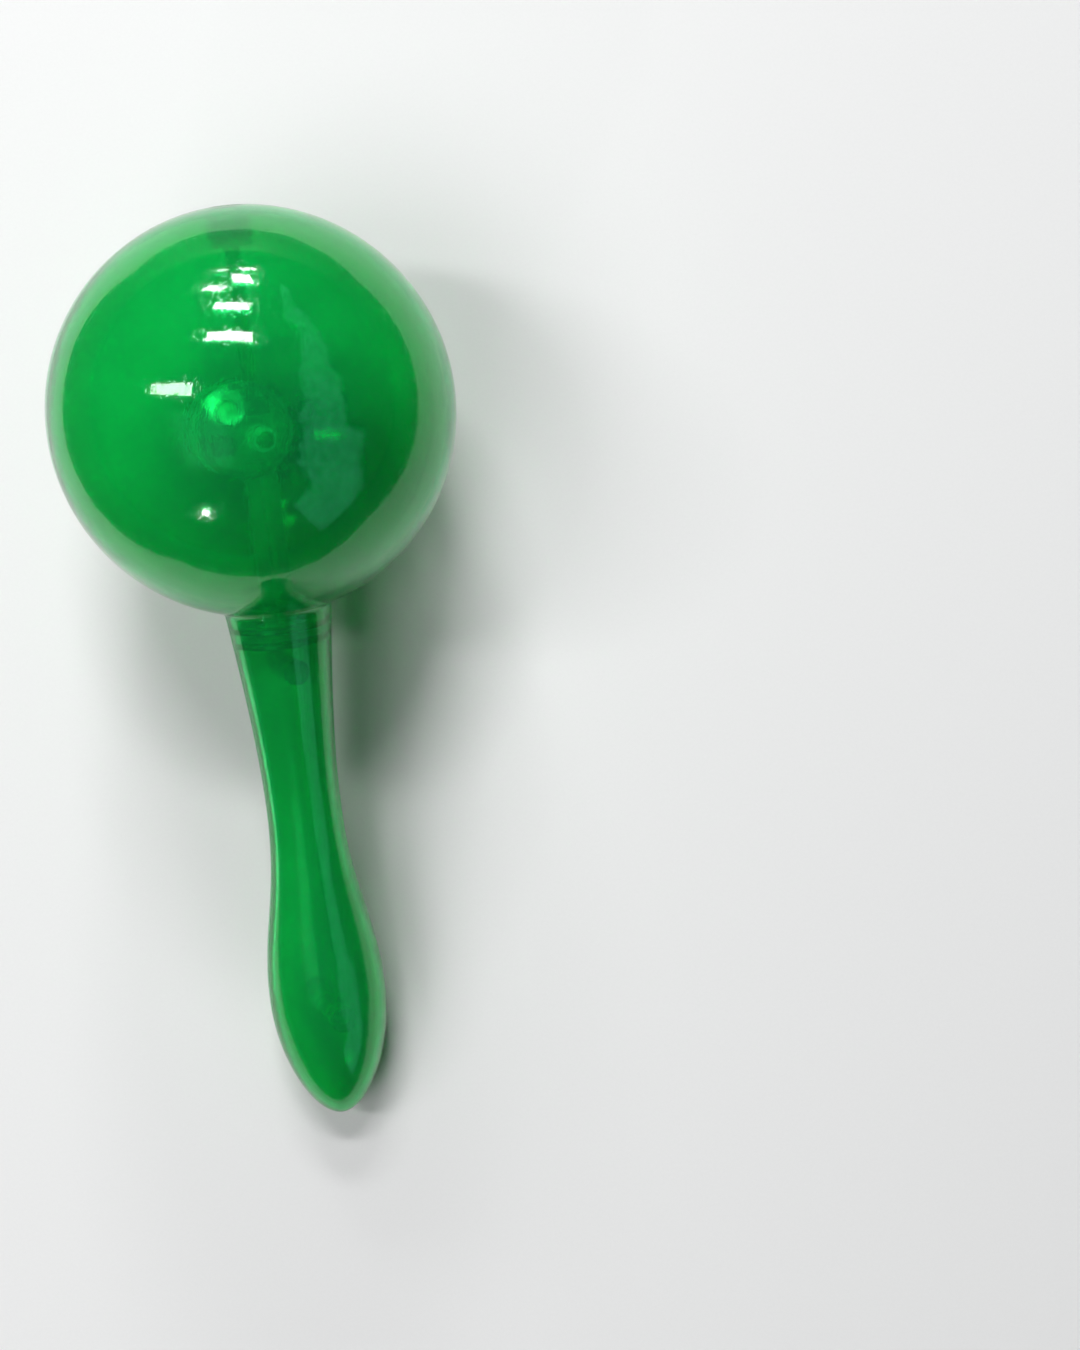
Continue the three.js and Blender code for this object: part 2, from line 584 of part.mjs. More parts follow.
// The tilt at which the ball and the bulb of the handle touch the floor together. The maraca rests on
// flats between two of its round steps.
function lyingTilt() {
  const drop = (places, tilt) => Math.max(...places.map(({ at }) => (
    at[0] * Math.cos(STEP_ANGLE / 2) * Math.cos(tilt) - at[1] * Math.sin(tilt)
  )));
  let [low, high] = [0, Math.PI / 4];
  for (let i = 0; i < 50; i += 1) {
    const tilt = (low + high) / 2;
    if (drop(handlePlaces(), tilt) < drop(ballPlaces(), tilt)) low = tilt;
    else high = tilt;
  }
  return low;
}

const rolled = new THREE.Group();
rolled.add(
  piece('front_shell', frontShell(), SHELL_GREEN),
  piece('rear_shell', rearShell(), SHELL_GREEN),
  piece('top_button', topButton(), BUTTON_GREEN),
  core(),
);
rolled.rotation.z = ROLL;

const laid = new THREE.Group();
laid.add(rolled);
laid.rotation.x = lyingTilt() - Math.PI / 2;

const maraca = new THREE.Group();
maraca.add(laid, ...rattleBeads());

// The origin is on the floor under the middle of the maraca
maraca.updateMatrixWorld(true);
const bounds = new THREE.Box3().setFromObject(maraca, true);
const centre = bounds.getCenter(new THREE.Vector3());
maraca.position.set(-centre.x, -centre.y, -bounds.min.z);

export default maraca;
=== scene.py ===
"""Looks of the light-up maraca: smooth moulded pieces and their finishes, the floor, lamps and camera."""

import json
import math
from functools import partial

import bpy
import numpy as np
from bpy.props import FloatProperty, FloatVectorProperty, PointerProperty
from mathutils import Matrix, Vector


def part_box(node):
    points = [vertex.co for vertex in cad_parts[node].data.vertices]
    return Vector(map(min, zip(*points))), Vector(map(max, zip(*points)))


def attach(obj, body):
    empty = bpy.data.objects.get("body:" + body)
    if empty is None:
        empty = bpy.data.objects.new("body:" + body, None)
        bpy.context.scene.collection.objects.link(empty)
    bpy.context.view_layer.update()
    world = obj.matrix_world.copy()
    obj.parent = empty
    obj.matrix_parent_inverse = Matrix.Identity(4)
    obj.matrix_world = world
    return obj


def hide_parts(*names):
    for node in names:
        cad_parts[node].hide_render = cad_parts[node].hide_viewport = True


bl_info = {
    "name": "Light-up maraca",
    "version": (1, 0, 0),
    "blender": (4, 5, 0),
    "location": "3D View > Sidebar > Maraca",
    "description": "Dresses the light-up maraca and sets its stage",
    "category": "Object",
}

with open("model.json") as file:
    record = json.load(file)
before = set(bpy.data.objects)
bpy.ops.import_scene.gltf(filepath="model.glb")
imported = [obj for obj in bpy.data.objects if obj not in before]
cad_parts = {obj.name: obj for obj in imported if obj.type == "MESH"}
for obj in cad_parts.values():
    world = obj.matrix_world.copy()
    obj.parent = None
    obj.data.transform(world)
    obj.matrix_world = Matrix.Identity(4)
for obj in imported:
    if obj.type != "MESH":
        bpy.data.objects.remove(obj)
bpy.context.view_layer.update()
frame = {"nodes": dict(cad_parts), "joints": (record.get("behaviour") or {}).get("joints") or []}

MM = 0.001
BALL_CENTRE = next(np.array(j["pos_m"]) for j in frame["joints"] if j["name"] == "beads_roll")
POLE = -next(np.array(j["axis"]) for j in frame["joints"] if j["name"] == "button_press")


# Places: an upright frame with the ball centre at its origin, and the core's frame on its circuit board


def turned_about_z(angle):
    """The rotation by an angle about Z."""
    c, s = math.cos(angle), math.sin(angle)
    return np.array([[c, -s, 0.0], [s, c, 0.0], [0.0, 0.0, 1.0]])


STEPS_ROUND = 44
ROLL = 2.5 * 2 * math.pi / STEPS_ROUND
LYING = np.array([[1.0, 0.0, 0.0], [0.0, POLE[2], POLE[1]], [0.0, -POLE[1], POLE[2]]])
UPRIGHT = (LYING @ turned_about_z(ROLL), BALL_CENTRE)
ON_BOARD = np.array([[1.0, 0.0, 0.0], [0.0, 0.0, -1.0], [0.0, 1.0, 0.0]])


def placed(points, place):
    """Points turned by a place's rotation and moved to its origin."""
    rotation, origin = place
    return points @ rotation.T + origin


# Sizes and colours that a user would change

Length = partial(FloatProperty, unit="LENGTH")
Colour = partial(FloatVectorProperty, subtype="COLOR", size=3)
Share = partial(FloatProperty, min=0.0, max=1.0, subtype="FACTOR")
Strength = partial(FloatProperty, min=0.0)


class MaracaShape(bpy.types.PropertyGroup):
    """Sizes of the ball, the handle and their wall."""

    ball_radius: Length(name="Ball radius", description="Outside radius of the ball", default=0.043)
    neck_radius: Length(name="Neck radius", description="Radius of the handle under the ball", default=0.0113)
    waist_radius: Length(name="Waist radius", description="Least radius of the handle", default=0.0082)
    bulb_radius: Length(name="Bulb radius", description="Greatest radius of the handle", default=0.013)
    wall: Length(name="Wall", description="Thickness of the moulded wall", default=0.0018)
    seam_gap: Length(name="Seam gap", description="Gap between the two halves", default=0.0002)
    edge: Length(name="Edge rounding", description="Rounding of the sleeve's edge", default=0.00025)


class MaracaColours(bpy.types.PropertyGroup):
    """Colours and clearness of the plastics."""

    shell: Colour(name="Shell", description="Colour of the ball", default=(0.008, 0.75, 0.21))
    shell_clearness: Share(name="Shell clearness", description="Share of light let through", default=0.84)
    handle: Colour(name="Handle", description="Colour of the handle", default=(0.008, 0.74, 0.17))
    handle_clearness: Share(name="Handle clearness", description="Share of light let through", default=0.76)
    button: Colour(name="Button", description="Colour of the push button", default=(0.008, 0.72, 0.2))
    # The core's colour is darkened as painted shade for the dim zone under the module
    core: Colour(name="Core", description="Colour of the core's cup and post", default=(0.42, 0.68, 0.52))
    glow: Colour(name="Glow", description="Colour of the lit LED", default=(1.0, 1.0, 0.6))
    glow_strength: Strength(name="Glow strength", description="Strength of the lit LED", default=1.12)
    bead: Colour(name="Beads", description="Colour of the rattle beads", default=(0.0, 0.22, 0.06))


class MaracaStage(bpy.types.PropertyGroup):
    """Floor, lamps and room."""

    sheet_side: Length(name="Sheet", description="Long side of the white sheet", default=0.442)
    room_light: Strength(name="Room light", description="Strength of the light all round", default=0.04)
    lamp_radiance: Strength(name="Tube lamps", description="Radiance of the tube lamps", default=34.5)
    fill_radiance: Strength(name="Fill lamp", description="Radiance of the soft fill lamp", default=3.0)
    window_radiance: Strength(name="Window", description="Radiance of the mirrored window", default=1.25)


# Meshes from arrays

SAME_PLACE = 1e-7
SHARP_EDGE = math.radians(32)


def grid_faces(rows, columns):
    """Quads between the points of a grid whose last column meets its first."""
    i, j = np.meshgrid(np.arange(rows - 1), np.arange(columns), indexing="ij")
    k = (j + 1) % columns
    quads = [i * columns + j, i * columns + k, (i + 1) * columns + k, (i + 1) * columns + j]
    return np.stack(quads, -1).reshape(-1, 4)


def triangles_of(points):
    """Corners and triangles of a closed grid: equal corners are merged, what has no area is left out, and
    the faces are turned outwards by the sign of the volume."""
    flat = points.reshape(-1, 3)
    steps = np.round(flat / SAME_PLACE).astype(np.int64)
    _, first, back = np.unique(steps, axis=0, return_index=True, return_inverse=True)
    quads = back.reshape(-1)[grid_faces(*points.shape[:2])]
    halves = np.concatenate([quads[:, [0, 1, 2]], quads[:, [0, 2, 3]]])
    a, b, c = halves.T
    halves = halves[(a != b) & (b != c) & (c != a)]
    corners = flat[first]
    a, b, c = corners[halves.T]
    volume = np.einsum("ij,ij->", a, np.cross(b, c))
    return corners, halves[:, ::-1] if volume < 0 else halves


def solid_mesh(name, grids):
    """One mesh from several closed grids. Each grid comes with the number of its finish."""
    corners, faces, slots, start = [], [], [], 0
    for grid, number in grids:
        places, triangles = triangles_of(grid)
        corners.append(places)
        faces.append(triangles + start)
        slots.append(np.full(len(triangles), number, np.int32))
        start += len(places)
    mesh = bpy.data.meshes.new(name)
    mesh.from_pydata(np.concatenate(corners), [], np.concatenate(faces))
    mesh.polygons.foreach_set("material_index", np.concatenate(slots))
    if mesh.validate():
        raise RuntimeError(f"{name} has faces that aren't sound")
    return mesh


def linked(name, data):
    """A new object in the scene with this mesh, lamp or camera."""
    item = bpy.data.objects.new(name, data)
    bpy.context.scene.collection.objects.link(item)
    return item


def cut_away(item, grids):
    """Cuts closed grids out of an object."""
    cutter = linked("cutter", solid_mesh("cutter", [(grid, 0) for grid in grids]))
    cut = item.modifiers.new("cut", "BOOLEAN")
    cut.operation, cut.solver, cut.object = "DIFFERENCE", "EXACT", cutter
    depsgraph = bpy.context.evaluated_depsgraph_get()
    mesh = bpy.data.meshes.new_from_object(item.evaluated_get(depsgraph))
    item.modifiers.clear()
    item.data = mesh
    bpy.data.objects.remove(cutter)


def make_piece(name, place, parts, body, stands_for, holes=()):
    """One object, smooth but for its sharp edges, from parts that each hold a finish and its closed grids.
    The grids, and the holes cut into them, are moved to a place."""
    grids = [(placed(grid, place), number) for number, (_, own) in enumerate(parts) for grid in own]
    item = linked(name, solid_mesh(name, grids))
    if holes:
        cut_away(item, [placed(hole, place) for hole in holes])
    mesh = item.data
    mesh.polygons.foreach_set("use_smooth", np.ones(len(mesh.polygons), bool))
    mesh.set_sharp_from_angle(angle=SHARP_EDGE)
    mesh.materials.clear()
    for finish, _ in parts:
        mesh.materials.append(finish)
    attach(item, body)
    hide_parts(*stands_for)
    return item


def rounded(corners, cut, steps=4):
    """An open line whose inner corners are quadratic curves that leave both sides the cut's length from the
    corner, or less where a side is short."""
    corners = np.asarray(corners, float)
    middle = corners[1:-1]
    before, after = corners[:-2] - middle, corners[2:] - middle
    cut = np.broadcast_to(cut, len(middle))[:, None]
    near = np.linalg.norm(before, axis=1, keepdims=True)
    far = np.linalg.norm(after, axis=1, keepdims=True)
    start = middle + before * np.minimum(cut / near, 0.48)
    end = middle + after * np.minimum(cut / far, 0.48)
    t = np.linspace(0, 1, steps + 1)[None, :, None]
    curve = (1 - t) ** 2 * start[:, None] + 2 * t * (1 - t) * middle[:, None] + t**2 * end[:, None]
    return np.vstack([corners[:1], curve.reshape(-1, 2), corners[-1:]])


def turned(line, angles):
    """A [radius, height] line turned about Z: x and y are the radius times the angle's cosine and sine."""
    radius, height = line[:, :1], line[:, 1:]
    x, y = radius * np.cos(angles), radius * np.sin(angles)
    return np.stack([x, y, np.broadcast_to(height, x.shape)], -1)


def all_round(count):
    """Angles of a full turn, without the last one."""
    return np.arange(count) * 2 * math.pi / count


def lathed(corners, cut, count):
    """A line of [radius, height] corners, rounded and turned all the way round."""
    return turned(rounded(corners, cut), all_round(count))


def disc(radius, low, high, edge, count):
    """A round disc about Z between two heights, its edges rounded."""
    return lathed([[0, low], [radius, low], [radius, high], [0, high]], edge, count)


def along_y(grid, x, z, start):
    """A grid made about Z, laid along Y from a start."""
    return np.stack([grid[..., 0] + x, grid[..., 2] + start, -grid[..., 1] + z], -1)


def rounded_box(low, high, bevel):
    """A sphere of the bevel's radius, its eight octants moved apart to the corners of a box. The signs of the
    cosine and sine of an octant's middle say which way it moves."""
    low, high = np.asarray(low, float), np.asarray(high, float)
    quarter = np.linspace(0, math.pi / 2, 4)
    turn = (np.arange(4)[:, None] * math.pi / 2 + quarter).ravel()
    middle = np.repeat(np.arange(4) + 0.5, len(quarter)) * math.pi / 2
    rise = np.concatenate([quarter - math.pi / 2, quarter])[:, None]
    upper = np.repeat([-1.0, 1.0], len(quarter))[:, None]
    half = (high - low) / 2 - bevel
    x = np.sign(np.cos(middle)) * half[0] + bevel * np.cos(rise) * np.cos(turn)
    y = np.sign(np.sin(middle)) * half[1] + bevel * np.cos(rise) * np.sin(turn)
    z = np.broadcast_to(upper * half[2] + bevel * np.sin(rise), x.shape)
    body = np.stack([x, y, z], -1)
    ends = [np.broadcast_to([0.0, 0.0, s * (half[2] + bevel)], body[:1].shape) for s in (-1, 1)]
    return np.concatenate([ends[0], body, ends[1]]) + (low + high) / 2


# Finishes

BLACK = (0.0, 0.0, 0.0, 1.0)


class Wire:
    """A socket on which arithmetic adds Math nodes."""

    def __init__(self, finish, socket):
        self.finish, self.socket = finish, socket

    def maths(self, operation, *others):
        """A Math node of the operation on this value and any others."""
        return self.finish.node("ShaderNodeMath", {"operation": operation}, dict(enumerate((self, *others))))

    def __add__(self, other):
        return self.maths("ADD", other)

    def __mul__(self, other):
        return self.maths("MULTIPLY", other)

    def most(self, other):
        """The larger of two values."""
        return self.maths("MAXIMUM", other)

    def root(self):
        """The square root."""
        return self.maths("SQRT")

    __radd__, __rmul__ = __add__, __mul__


class Finish:
    """A material whose nodes are added by name."""

    def __init__(self, name):
        self.material = bpy.data.materials.new(name)
        self.material.use_nodes = True
        self.tree = self.material.node_tree
        self.tree.nodes.clear()

    def node(self, kind, settings=None, sockets=None, output=0):
        """Adds a node, sets its settings first, then gives its sockets their values or links. What comes back
        is one of its outputs, where it has any."""
        node = self.tree.nodes.new(kind)
        for name, value in (settings or {}).items():
            setattr(node, name, value)
        for name, value in (sockets or {}).items():
            if isinstance(value, Wire):
                self.tree.links.new(value.socket, node.inputs[name])
            else:
                node.inputs[name].default_value = value
        return Wire(self, node.outputs[output]) if node.outputs else None

    def vectors(self, operation, first, second, output=0):
        """A Vector Math node of the operation on two vectors."""
        return self.node("ShaderNodeVectorMath", {"operation": operation}, {0: first, 1: second}, output)

    def place(self):
        """Object coordinates."""
        return self.node("ShaderNodeTexCoord", output="Object")

    def noise(self, scale, detail=3.0, roughness=0.5, vector=None):
        """Noise from 0 to 1 with about so many lumps in a metre."""
        sockets = {"Vector": vector or self.place(), "Scale": scale, "Detail": detail, "Roughness": roughness}
        return self.node("ShaderNodeTexNoise", {}, sockets)

    def blend(self, factor, first, second):
        """A colour between two, each a colour or a link."""
        sockets = {0: factor, 6: first, 7: second}
        return self.node("ShaderNodeMix", {"data_type": "RGBA"}, sockets, output=2)

    def between(self, value, low, high, first, second):
        """A value's range from low to high carried over to first to second, without going past them."""
        sockets = dict(enumerate([value, low, high, first, second]))
        return self.node("ShaderNodeMapRange", {"clamp": True}, sockets)

    def along(self, axis, origin):
        """How far the place lies from an origin along an axis, in metres."""
        way = self.vectors("SUBTRACT", self.place(), tuple(origin))
        return self.vectors("DOT_PRODUCT", way, tuple(axis), output=1)

    def drawn_out(self, way, share):
        """The place less a share of its part along a unit way, which draws a pattern out along it."""
        along = self.vectors("DOT_PRODUCT", self.place(), way, output=1)
        return self.vectors("SUBTRACT", self.place(), self.vectors("MULTIPLY", way, along * share))

    def from_led(self, led):
        """How far the place lies right of an LED's axis, above it, and away from it."""
        origin = placed(np.array([*led, 0.0]), CORE)
        right, up = (self.along(CORE[0][:, i], origin) for i in (0, 1))
        return right, up, (right * right + up * up).root()

    def bump(self, height, distance, strength=1.0):
        """A normal from a height, with its distance in metres."""
        sockets = {"Height": height, "Distance": distance, "Strength": strength}
        return self.node("ShaderNodeBump", {}, sockets)

    def done(self, **sockets):
        """The Principled shader with these sockets, by their names with _ for a space."""
        named = {name.replace("_", " "): value for name, value in sockets.items()}
        shader = self.node("ShaderNodeBsdfPrincipled", {}, named)
        self.node("ShaderNodeOutputMaterial", {}, {"Surface": shader})
        return self.material


def grained(name, grain, colours, rough=None, height=None, stretch=None, **sockets):
    """A finish whose colour, roughness and height all follow one noise. grain is its scale, detail and
    roughness, colours and rough are what it runs between, height is a bump's distance and strength, and
    stretch packs the noise more closely along each axis."""
    finish = Finish(name)
    noise = finish.noise(*grain, finish.vectors("MULTIPLY", finish.place(), stretch) if stretch else None)
    if rough:
        sockets["Roughness"] = finish.between(noise, 0.3, 0.7, *rough)
    if height:
        sockets["Normal"] = finish.bump(noise, *height)
    return finish.done(Base_Color=finish.blend(noise, *colours), **sockets)


def opaque(colour, share=1.0):
    """A colour with its fourth number, darkened to a share."""
    return (*[c * share for c in colour], 1.0)


def grey(level, blue=0.0):
    """A grey with a little more or less blue."""
    return (level, level, level + blue, 1.0)


SCUFF_WAY = (0.1, 0.995, 0.0)
SCUFF_DRAWN = 0.67
ACRYLIC = 1.49
RESIN = 1.54


def shell_plastic(name, colour, clearness):
    """Translucent moulded green: cloudy colour with slow waves left by the mould and sparse raised specks."""
    finish = Finish(name)
    cloud = finish.noise(38.0, 4.0, 0.55)
    waves = finish.noise(75.0, 2.0, 0.4)
    scuffs = finish.noise(1900.0, 2.0, 0.6, finish.drawn_out(SCUFF_WAY, SCUFF_DRAWN))
    specks = finish.between(scuffs, 0.55, 0.7, 0.0, 1.0)
    shade = finish.between(cloud, 0.3, 0.7, 0.0, 1.0)
    return finish.done(
        Base_Color=finish.blend(shade, opaque(colour, 0.9), opaque(colour, 1.08)),
        Roughness=finish.between(cloud, 0.35, 0.75, 0.03, 0.08), IOR=ACRYLIC, Transmission_Weight=clearness,
        Normal=finish.bump(waves + specks * 0.06, 0.14 * MM),
    )


def button_plastic(colours):
    """Green plastic, less clear than the shells, with a rubbed face."""
    shades = opaque(colours.button, 0.85), opaque(colours.button, 1.1)
    return grained(
        "button_green", (700.0, 5.0, 0.6), shades, (0.12, 0.28), (0.03 * MM, 0.5), Transmission_Weight=0.86
    )


def core_plastic(colours):
    """Milky pale green plastic with flow marks, its colour darkened as painted shade for the dim zone under
    the module.
    """
    return grained(
        "milky_plastic", (240.0, 3.0, 0.6), (opaque(colours.core, 0.86), opaque(colours.core, 1.08)),
        (0.22, 0.38), (0.04 * MM, 0.5), Subsurface_Weight=0.25, Subsurface_Scale=2 * MM,
    )


def cover_plastic(colours):
    """Clear plastic with a little haze, lit round the LED that shines through it."""
    finish = Finish("clear_cover")
    haze = finish.noise(300.0, 3.0, 0.6)
    return finish.done(
        Base_Color=finish.blend(haze, (0.78, 0.95, 0.84, 1.0), (0.9, 1.0, 0.93, 1.0)),
        Roughness=finish.between(haze, 0.3, 0.7, 0.03, 0.12), IOR=ACRYLIC, Transmission_Weight=0.8,
        Emission_Color=finish.blend(led_glow(finish), BLACK, opaque(colours.glow)),
        Emission_Strength=colours.glow_strength,
    )


GLOW_ASIDE = np.array([0.4, 1.1]) * MM
# Offset of the centre of the unlit LED's painted highlight ring and painted shade
PAINTED_RING_ASIDE = np.array([-0.25, 0.0]) * MM


def led_glow(finish):
    """Light round the lit LED: a faint round patch with a bright crescent left of the LED and below it, which
    fine noise breaks into sparkles."""
    right, up, away = finish.from_led(UPPER_LED + GLOW_ASIDE)
    patch = finish.between(away, 3.4 * MM, 4.1 * MM, 1.0, 0.0)
    left, below = (finish.between(way, -2.8 * MM, -MM, 1.0, 0.0) for way in (right, up))
    sparkle = finish.between(finish.noise(1300.0, 3.0, 0.7), 0.42, 0.62, 0.2, 1.0)
    return patch * (0.16 + left.most(below) * sparkle)


def lit_lens(colours):
    """The lens of the lit LED, bright where the light round it is."""
    finish = Finish("lit_lens")
    top = placed(np.array([0.0, 0.0, COVER_FRONT]), CORE)
    face = finish.between(finish.along(CORE[0][:, 2], top), 1.2 * MM, 2.2 * MM, 0.0, 1.0)
    lit = finish.blend((led_glow(finish) + 0.1) * face, BLACK, opaque(colours.glow))
    return finish.done(
        Base_Color=(0.7, 1.0, 0.7, 1.0), Roughness=0.08, Emission_Color=lit,
        Emission_Strength=colours.glow_strength,
    )


def clear_lens(colours):
    """The resin of the unlit LED, with light painted on: a pale ring with a faint painted glow, as painted
    highlight where its side and flange would catch the light, and painted shade over its reflector in the
    middle.
    """
    finish = Finish("clear_lens")
    haze = finish.noise(900.0, 3.0, 0.5)
    # rim: painted highlight ring outside, painted shade over the reflector inside
    rim = finish.between(finish.from_led(LOWER_LED + PAINTED_RING_ASIDE)[2], 1.7 * MM, 2.2 * MM, 0.0, 1.0)
    pale = finish.blend(haze, (0.8, 0.95, 0.84, 1.0), (0.95, 1.0, 0.96, 1.0))
    return finish.done(
        Base_Color=finish.blend(rim, (0.22, 0.42, 0.24, 1.0), pale),
        Roughness=finish.between(haze, 0.3, 0.7, 0.02, 0.08), IOR=RESIN, Transmission_Weight=0.1,
        # Painted glow on the ring of the unlit LED, which is no lamp
        Emission_Color=finish.blend(rim, BLACK, opaque(colours.glow)), Emission_Strength=0.2,
    )


def board_mask():
    """Pale green solder mask over copper tracks, which show as lighter raised lines."""
    finish = Finish("solder_mask")
    sockets = {"Vector": finish.place(), "Scale": 520.0}
    tracks = finish.node("ShaderNodeTexVoronoi", {"feature": "DISTANCE_TO_EDGE"}, sockets)
    line = finish.between(tracks, 0.06, 0.1, 1.0, 0.0)
    return finish.done(
        Base_Color=finish.blend(line, (0.42, 0.72, 0.5, 1.0), (0.6, 0.85, 0.66, 1.0)),
        Roughness=finish.between(finish.noise(1200.0), 0.3, 0.7, 0.3, 0.45),
        Normal=finish.bump(line, 0.04 * MM, 0.6),
    )


def black_case():
    """Black moulded case with a fine sparked grain."""
    shades = grey(0.012, 0.001), grey(0.035, 0.002)
    return grained("black_case", (4200.0, 4.0, 0.7), shades, (0.35, 0.6), (0.03 * MM, 0.6))


def tinned_leg():
    """Tinned leads and legs."""
    shades = grey(0.55, -0.02), grey(0.75, -0.02)
    return grained("tinned_leg", (3000.0, 3.0, 0.6), shades, (0.2, 0.4), Metallic=1.0)


def cell_can():
    """Nickel-plated can with fine brushed streaks and dull spots."""
    return grained(
        "nickel_can", (900.0, 4.0, 0.6), (grey(0.42, -0.02), grey(0.66, -0.03)), (0.18, 0.4),
        (0.02 * MM, 0.4), (6.0, 1.0, 6.0), Metallic=1.0,
    )


def cell_gasket():
    """Dark gasket between a cell's cap and can."""
    shades = grey(0.03, 0.005), grey(0.07, 0.005)
    return grained("cell_gasket", (2500.0, 3.0, 0.5), shades, (0.4, 0.6))


def contact_brass():
    """Sprung brass with a little tarnish."""
    shades = (0.62, 0.42, 0.13, 1.0), (0.45, 0.27, 0.08, 1.0)
    return grained("contact_brass", (700.0, 4.0, 0.6), shades, (0.2, 0.42), Metallic=1.0)


def bead_plastic(colours):
    """Green beads, each a little scuffed by the others."""
    shades = opaque(colours.bead, 0.8), opaque(colours.bead, 1.25)
    return grained("bead_green", (1300.0, 5.0, 0.65), shades, (0.18, 0.42), (0.05 * MM, 0.6))


def white_sheet():
    """Matte white paper with a faint tooth."""
    tooth = (0.02 * MM, 0.4)
    return grained("white_sheet", (1500.0, 4.0, 0.6), (grey(0.86), grey(0.9)), height=tooth, Roughness=0.9)


def dark_table():
    """Dark table top under the sheet."""
    shades = (0.02, 0.022, 0.024, 1.0), (0.03, 0.032, 0.034, 1.0)
    return grained("dark_table", (12.0, 4.0, 0.5), shades, Roughness=0.7)


def window_light(radiance):
    """Cool daylight, uneven where things stand in front of the window, with torn edges."""
    finish = Finish("window_light")
    edge = finish.node("ShaderNodeAttribute", {"attribute_name": "edge"}, output=2)
    torn = finish.between(edge + finish.noise(4.0, 5.0, 0.65), 0.58, 0.72, 0.0, 1.0)
    shapes = finish.between(finish.noise(6.0, 6.0, 0.7), 0.38, 0.6, 0.4, 1.0) * torn
    light = finish.blend(shapes, BLACK, (0.2, 1.0, 0.72, 1.0))
    return finish.done(Base_Color=BLACK, Emission_Color=light, Emission_Strength=radiance)


# Outline of the ball and handle, in metres down the axis from the ball centre

NECK_DOWN = 1.0 * MM
WAIST_DOWN = 42.0 * MM
BULB_DOWN = 43.8 * MM
TIP_DOWN = 28.7 * MM
TIP_FLAT = 6.0 * MM
NECK_EASE = 0.38 * WAIST_DOWN
WAIST_EASE_UP = 0.29 * WAIST_DOWN
WAIST_EASE_DOWN = 0.475 * BULB_DOWN
BULB_EASE_UP = 0.37 * BULB_DOWN
BULB_EASE_DOWN = 0.51 * TIP_DOWN
TAPER = 0.116
TAPER_SLOPE = math.hypot(1, TAPER)
FILLET = 1.7 * MM
INSIDE_FACETS = 0.0058
TIP_SHORTER = 0.15 * MM
BORE = 3.8 * MM
SLEEVE = 0.9 * MM
SLEEVE_LENGTH = 7.0 * MM
TONGUE = 0.8 * MM
TONGUE_HEIGHT = 0.9 * MM
TONGUE_PLAY = 0.2 * MM
BOSS = 2.7 * MM
PEG = 1.15 * MM
PEG_TIP = 0.7 * PEG
PEG_LENGTH = 4.0 * MM
UPPER_BOSS_DOWN = 11.7 * MM
LOWER_BOSS_UP = 26.0 * MM
FIT = 0.3 * MM


def bezier(points, steps):
    """A cubic curve through four points: place and outward normal at each step, without the first."""
    a, b, c, d = np.asarray(points, float)
    t = np.linspace(0, 1, steps + 1)[1:, None]
    at = (1 - t) ** 3 * a + 3 * t * (1 - t) ** 2 * b + 3 * t**2 * (1 - t) * c + t**3 * d
    way = (1 - t) ** 2 * (b - a) + 2 * t * (1 - t) * (c - b) + t**2 * (d - c)
    way /= np.linalg.norm(way, axis=1, keepdims=True)
    return at, np.column_stack([way[:, 1], -way[:, 0]])


def arc(centre, radius, start, end, steps, outward):
    """An arc from one angle to another: place and outward normal."""
    angle = np.linspace(start, end, steps + 1)
    way = np.column_stack([np.cos(angle), np.sin(angle)])
    return np.asarray(centre) + radius * way, outward * way


def maraca_outline(shape):
    """The outline from the handle's tip up to the rim of the button's bore, as places and outward normals.
    Three cubic stretches make the handle, then a fillet's arc and the ball's arc. Its radius is drawn in by
    a small share, which keeps the round surface inside the flats of the solid."""
    ball, neck, waist, bulb = shape.ball_radius, shape.neck_radius, shape.waist_radius, shape.bulb_radius
    neck_z = -ball - NECK_DOWN
    waist_z = neck_z - WAIST_DOWN
    bulb_z = waist_z - BULB_DOWN
    tip_z = bulb_z - TIP_DOWN
    end_z = tip_z + TIP_SHORTER
    side = neck - TAPER * neck_z + FILLET * TAPER_SLOPE
    reach = (ball + FILLET) * TAPER_SLOPE
    drop = -(TAPER * side + math.sqrt(reach**2 - side**2)) / TAPER_SLOPE**2
    centre = (side + TAPER * drop, drop)
    ball_start = math.atan2(centre[1], centre[0])
    tip = [(0, end_z), (TIP_FLAT, end_z), (bulb, bulb_z - BULB_EASE_DOWN), (bulb, bulb_z)]
    grip = [tip[-1], (bulb, bulb_z + BULB_EASE_UP), (waist, waist_z - WAIST_EASE_DOWN), (waist, waist_z)]
    neck_ease = (neck - TAPER * NECK_EASE, neck_z - NECK_EASE)
    stretches = [
        (np.array([[0.0, end_z]]), np.array([[0.0, -1.0]])),
        bezier(tip, 36),
        bezier(grip, 26),
        bezier([grip[-1], (waist, waist_z + WAIST_EASE_UP), neck_ease, (neck, neck_z)], 24),
        arc(centre, FILLET, math.pi - math.atan(TAPER), ball_start + math.pi, 8, -1),
        tuple(a[1:] for a in arc((0, 0), ball, ball_start, math.pi / 2 - math.asin(BORE / ball), 110, 1)),
    ]
    at, normal = (np.concatenate(a) for a in zip(*stretches))
    return at - INSIDE_FACETS * at[:, :1] * normal, normal, tip_z


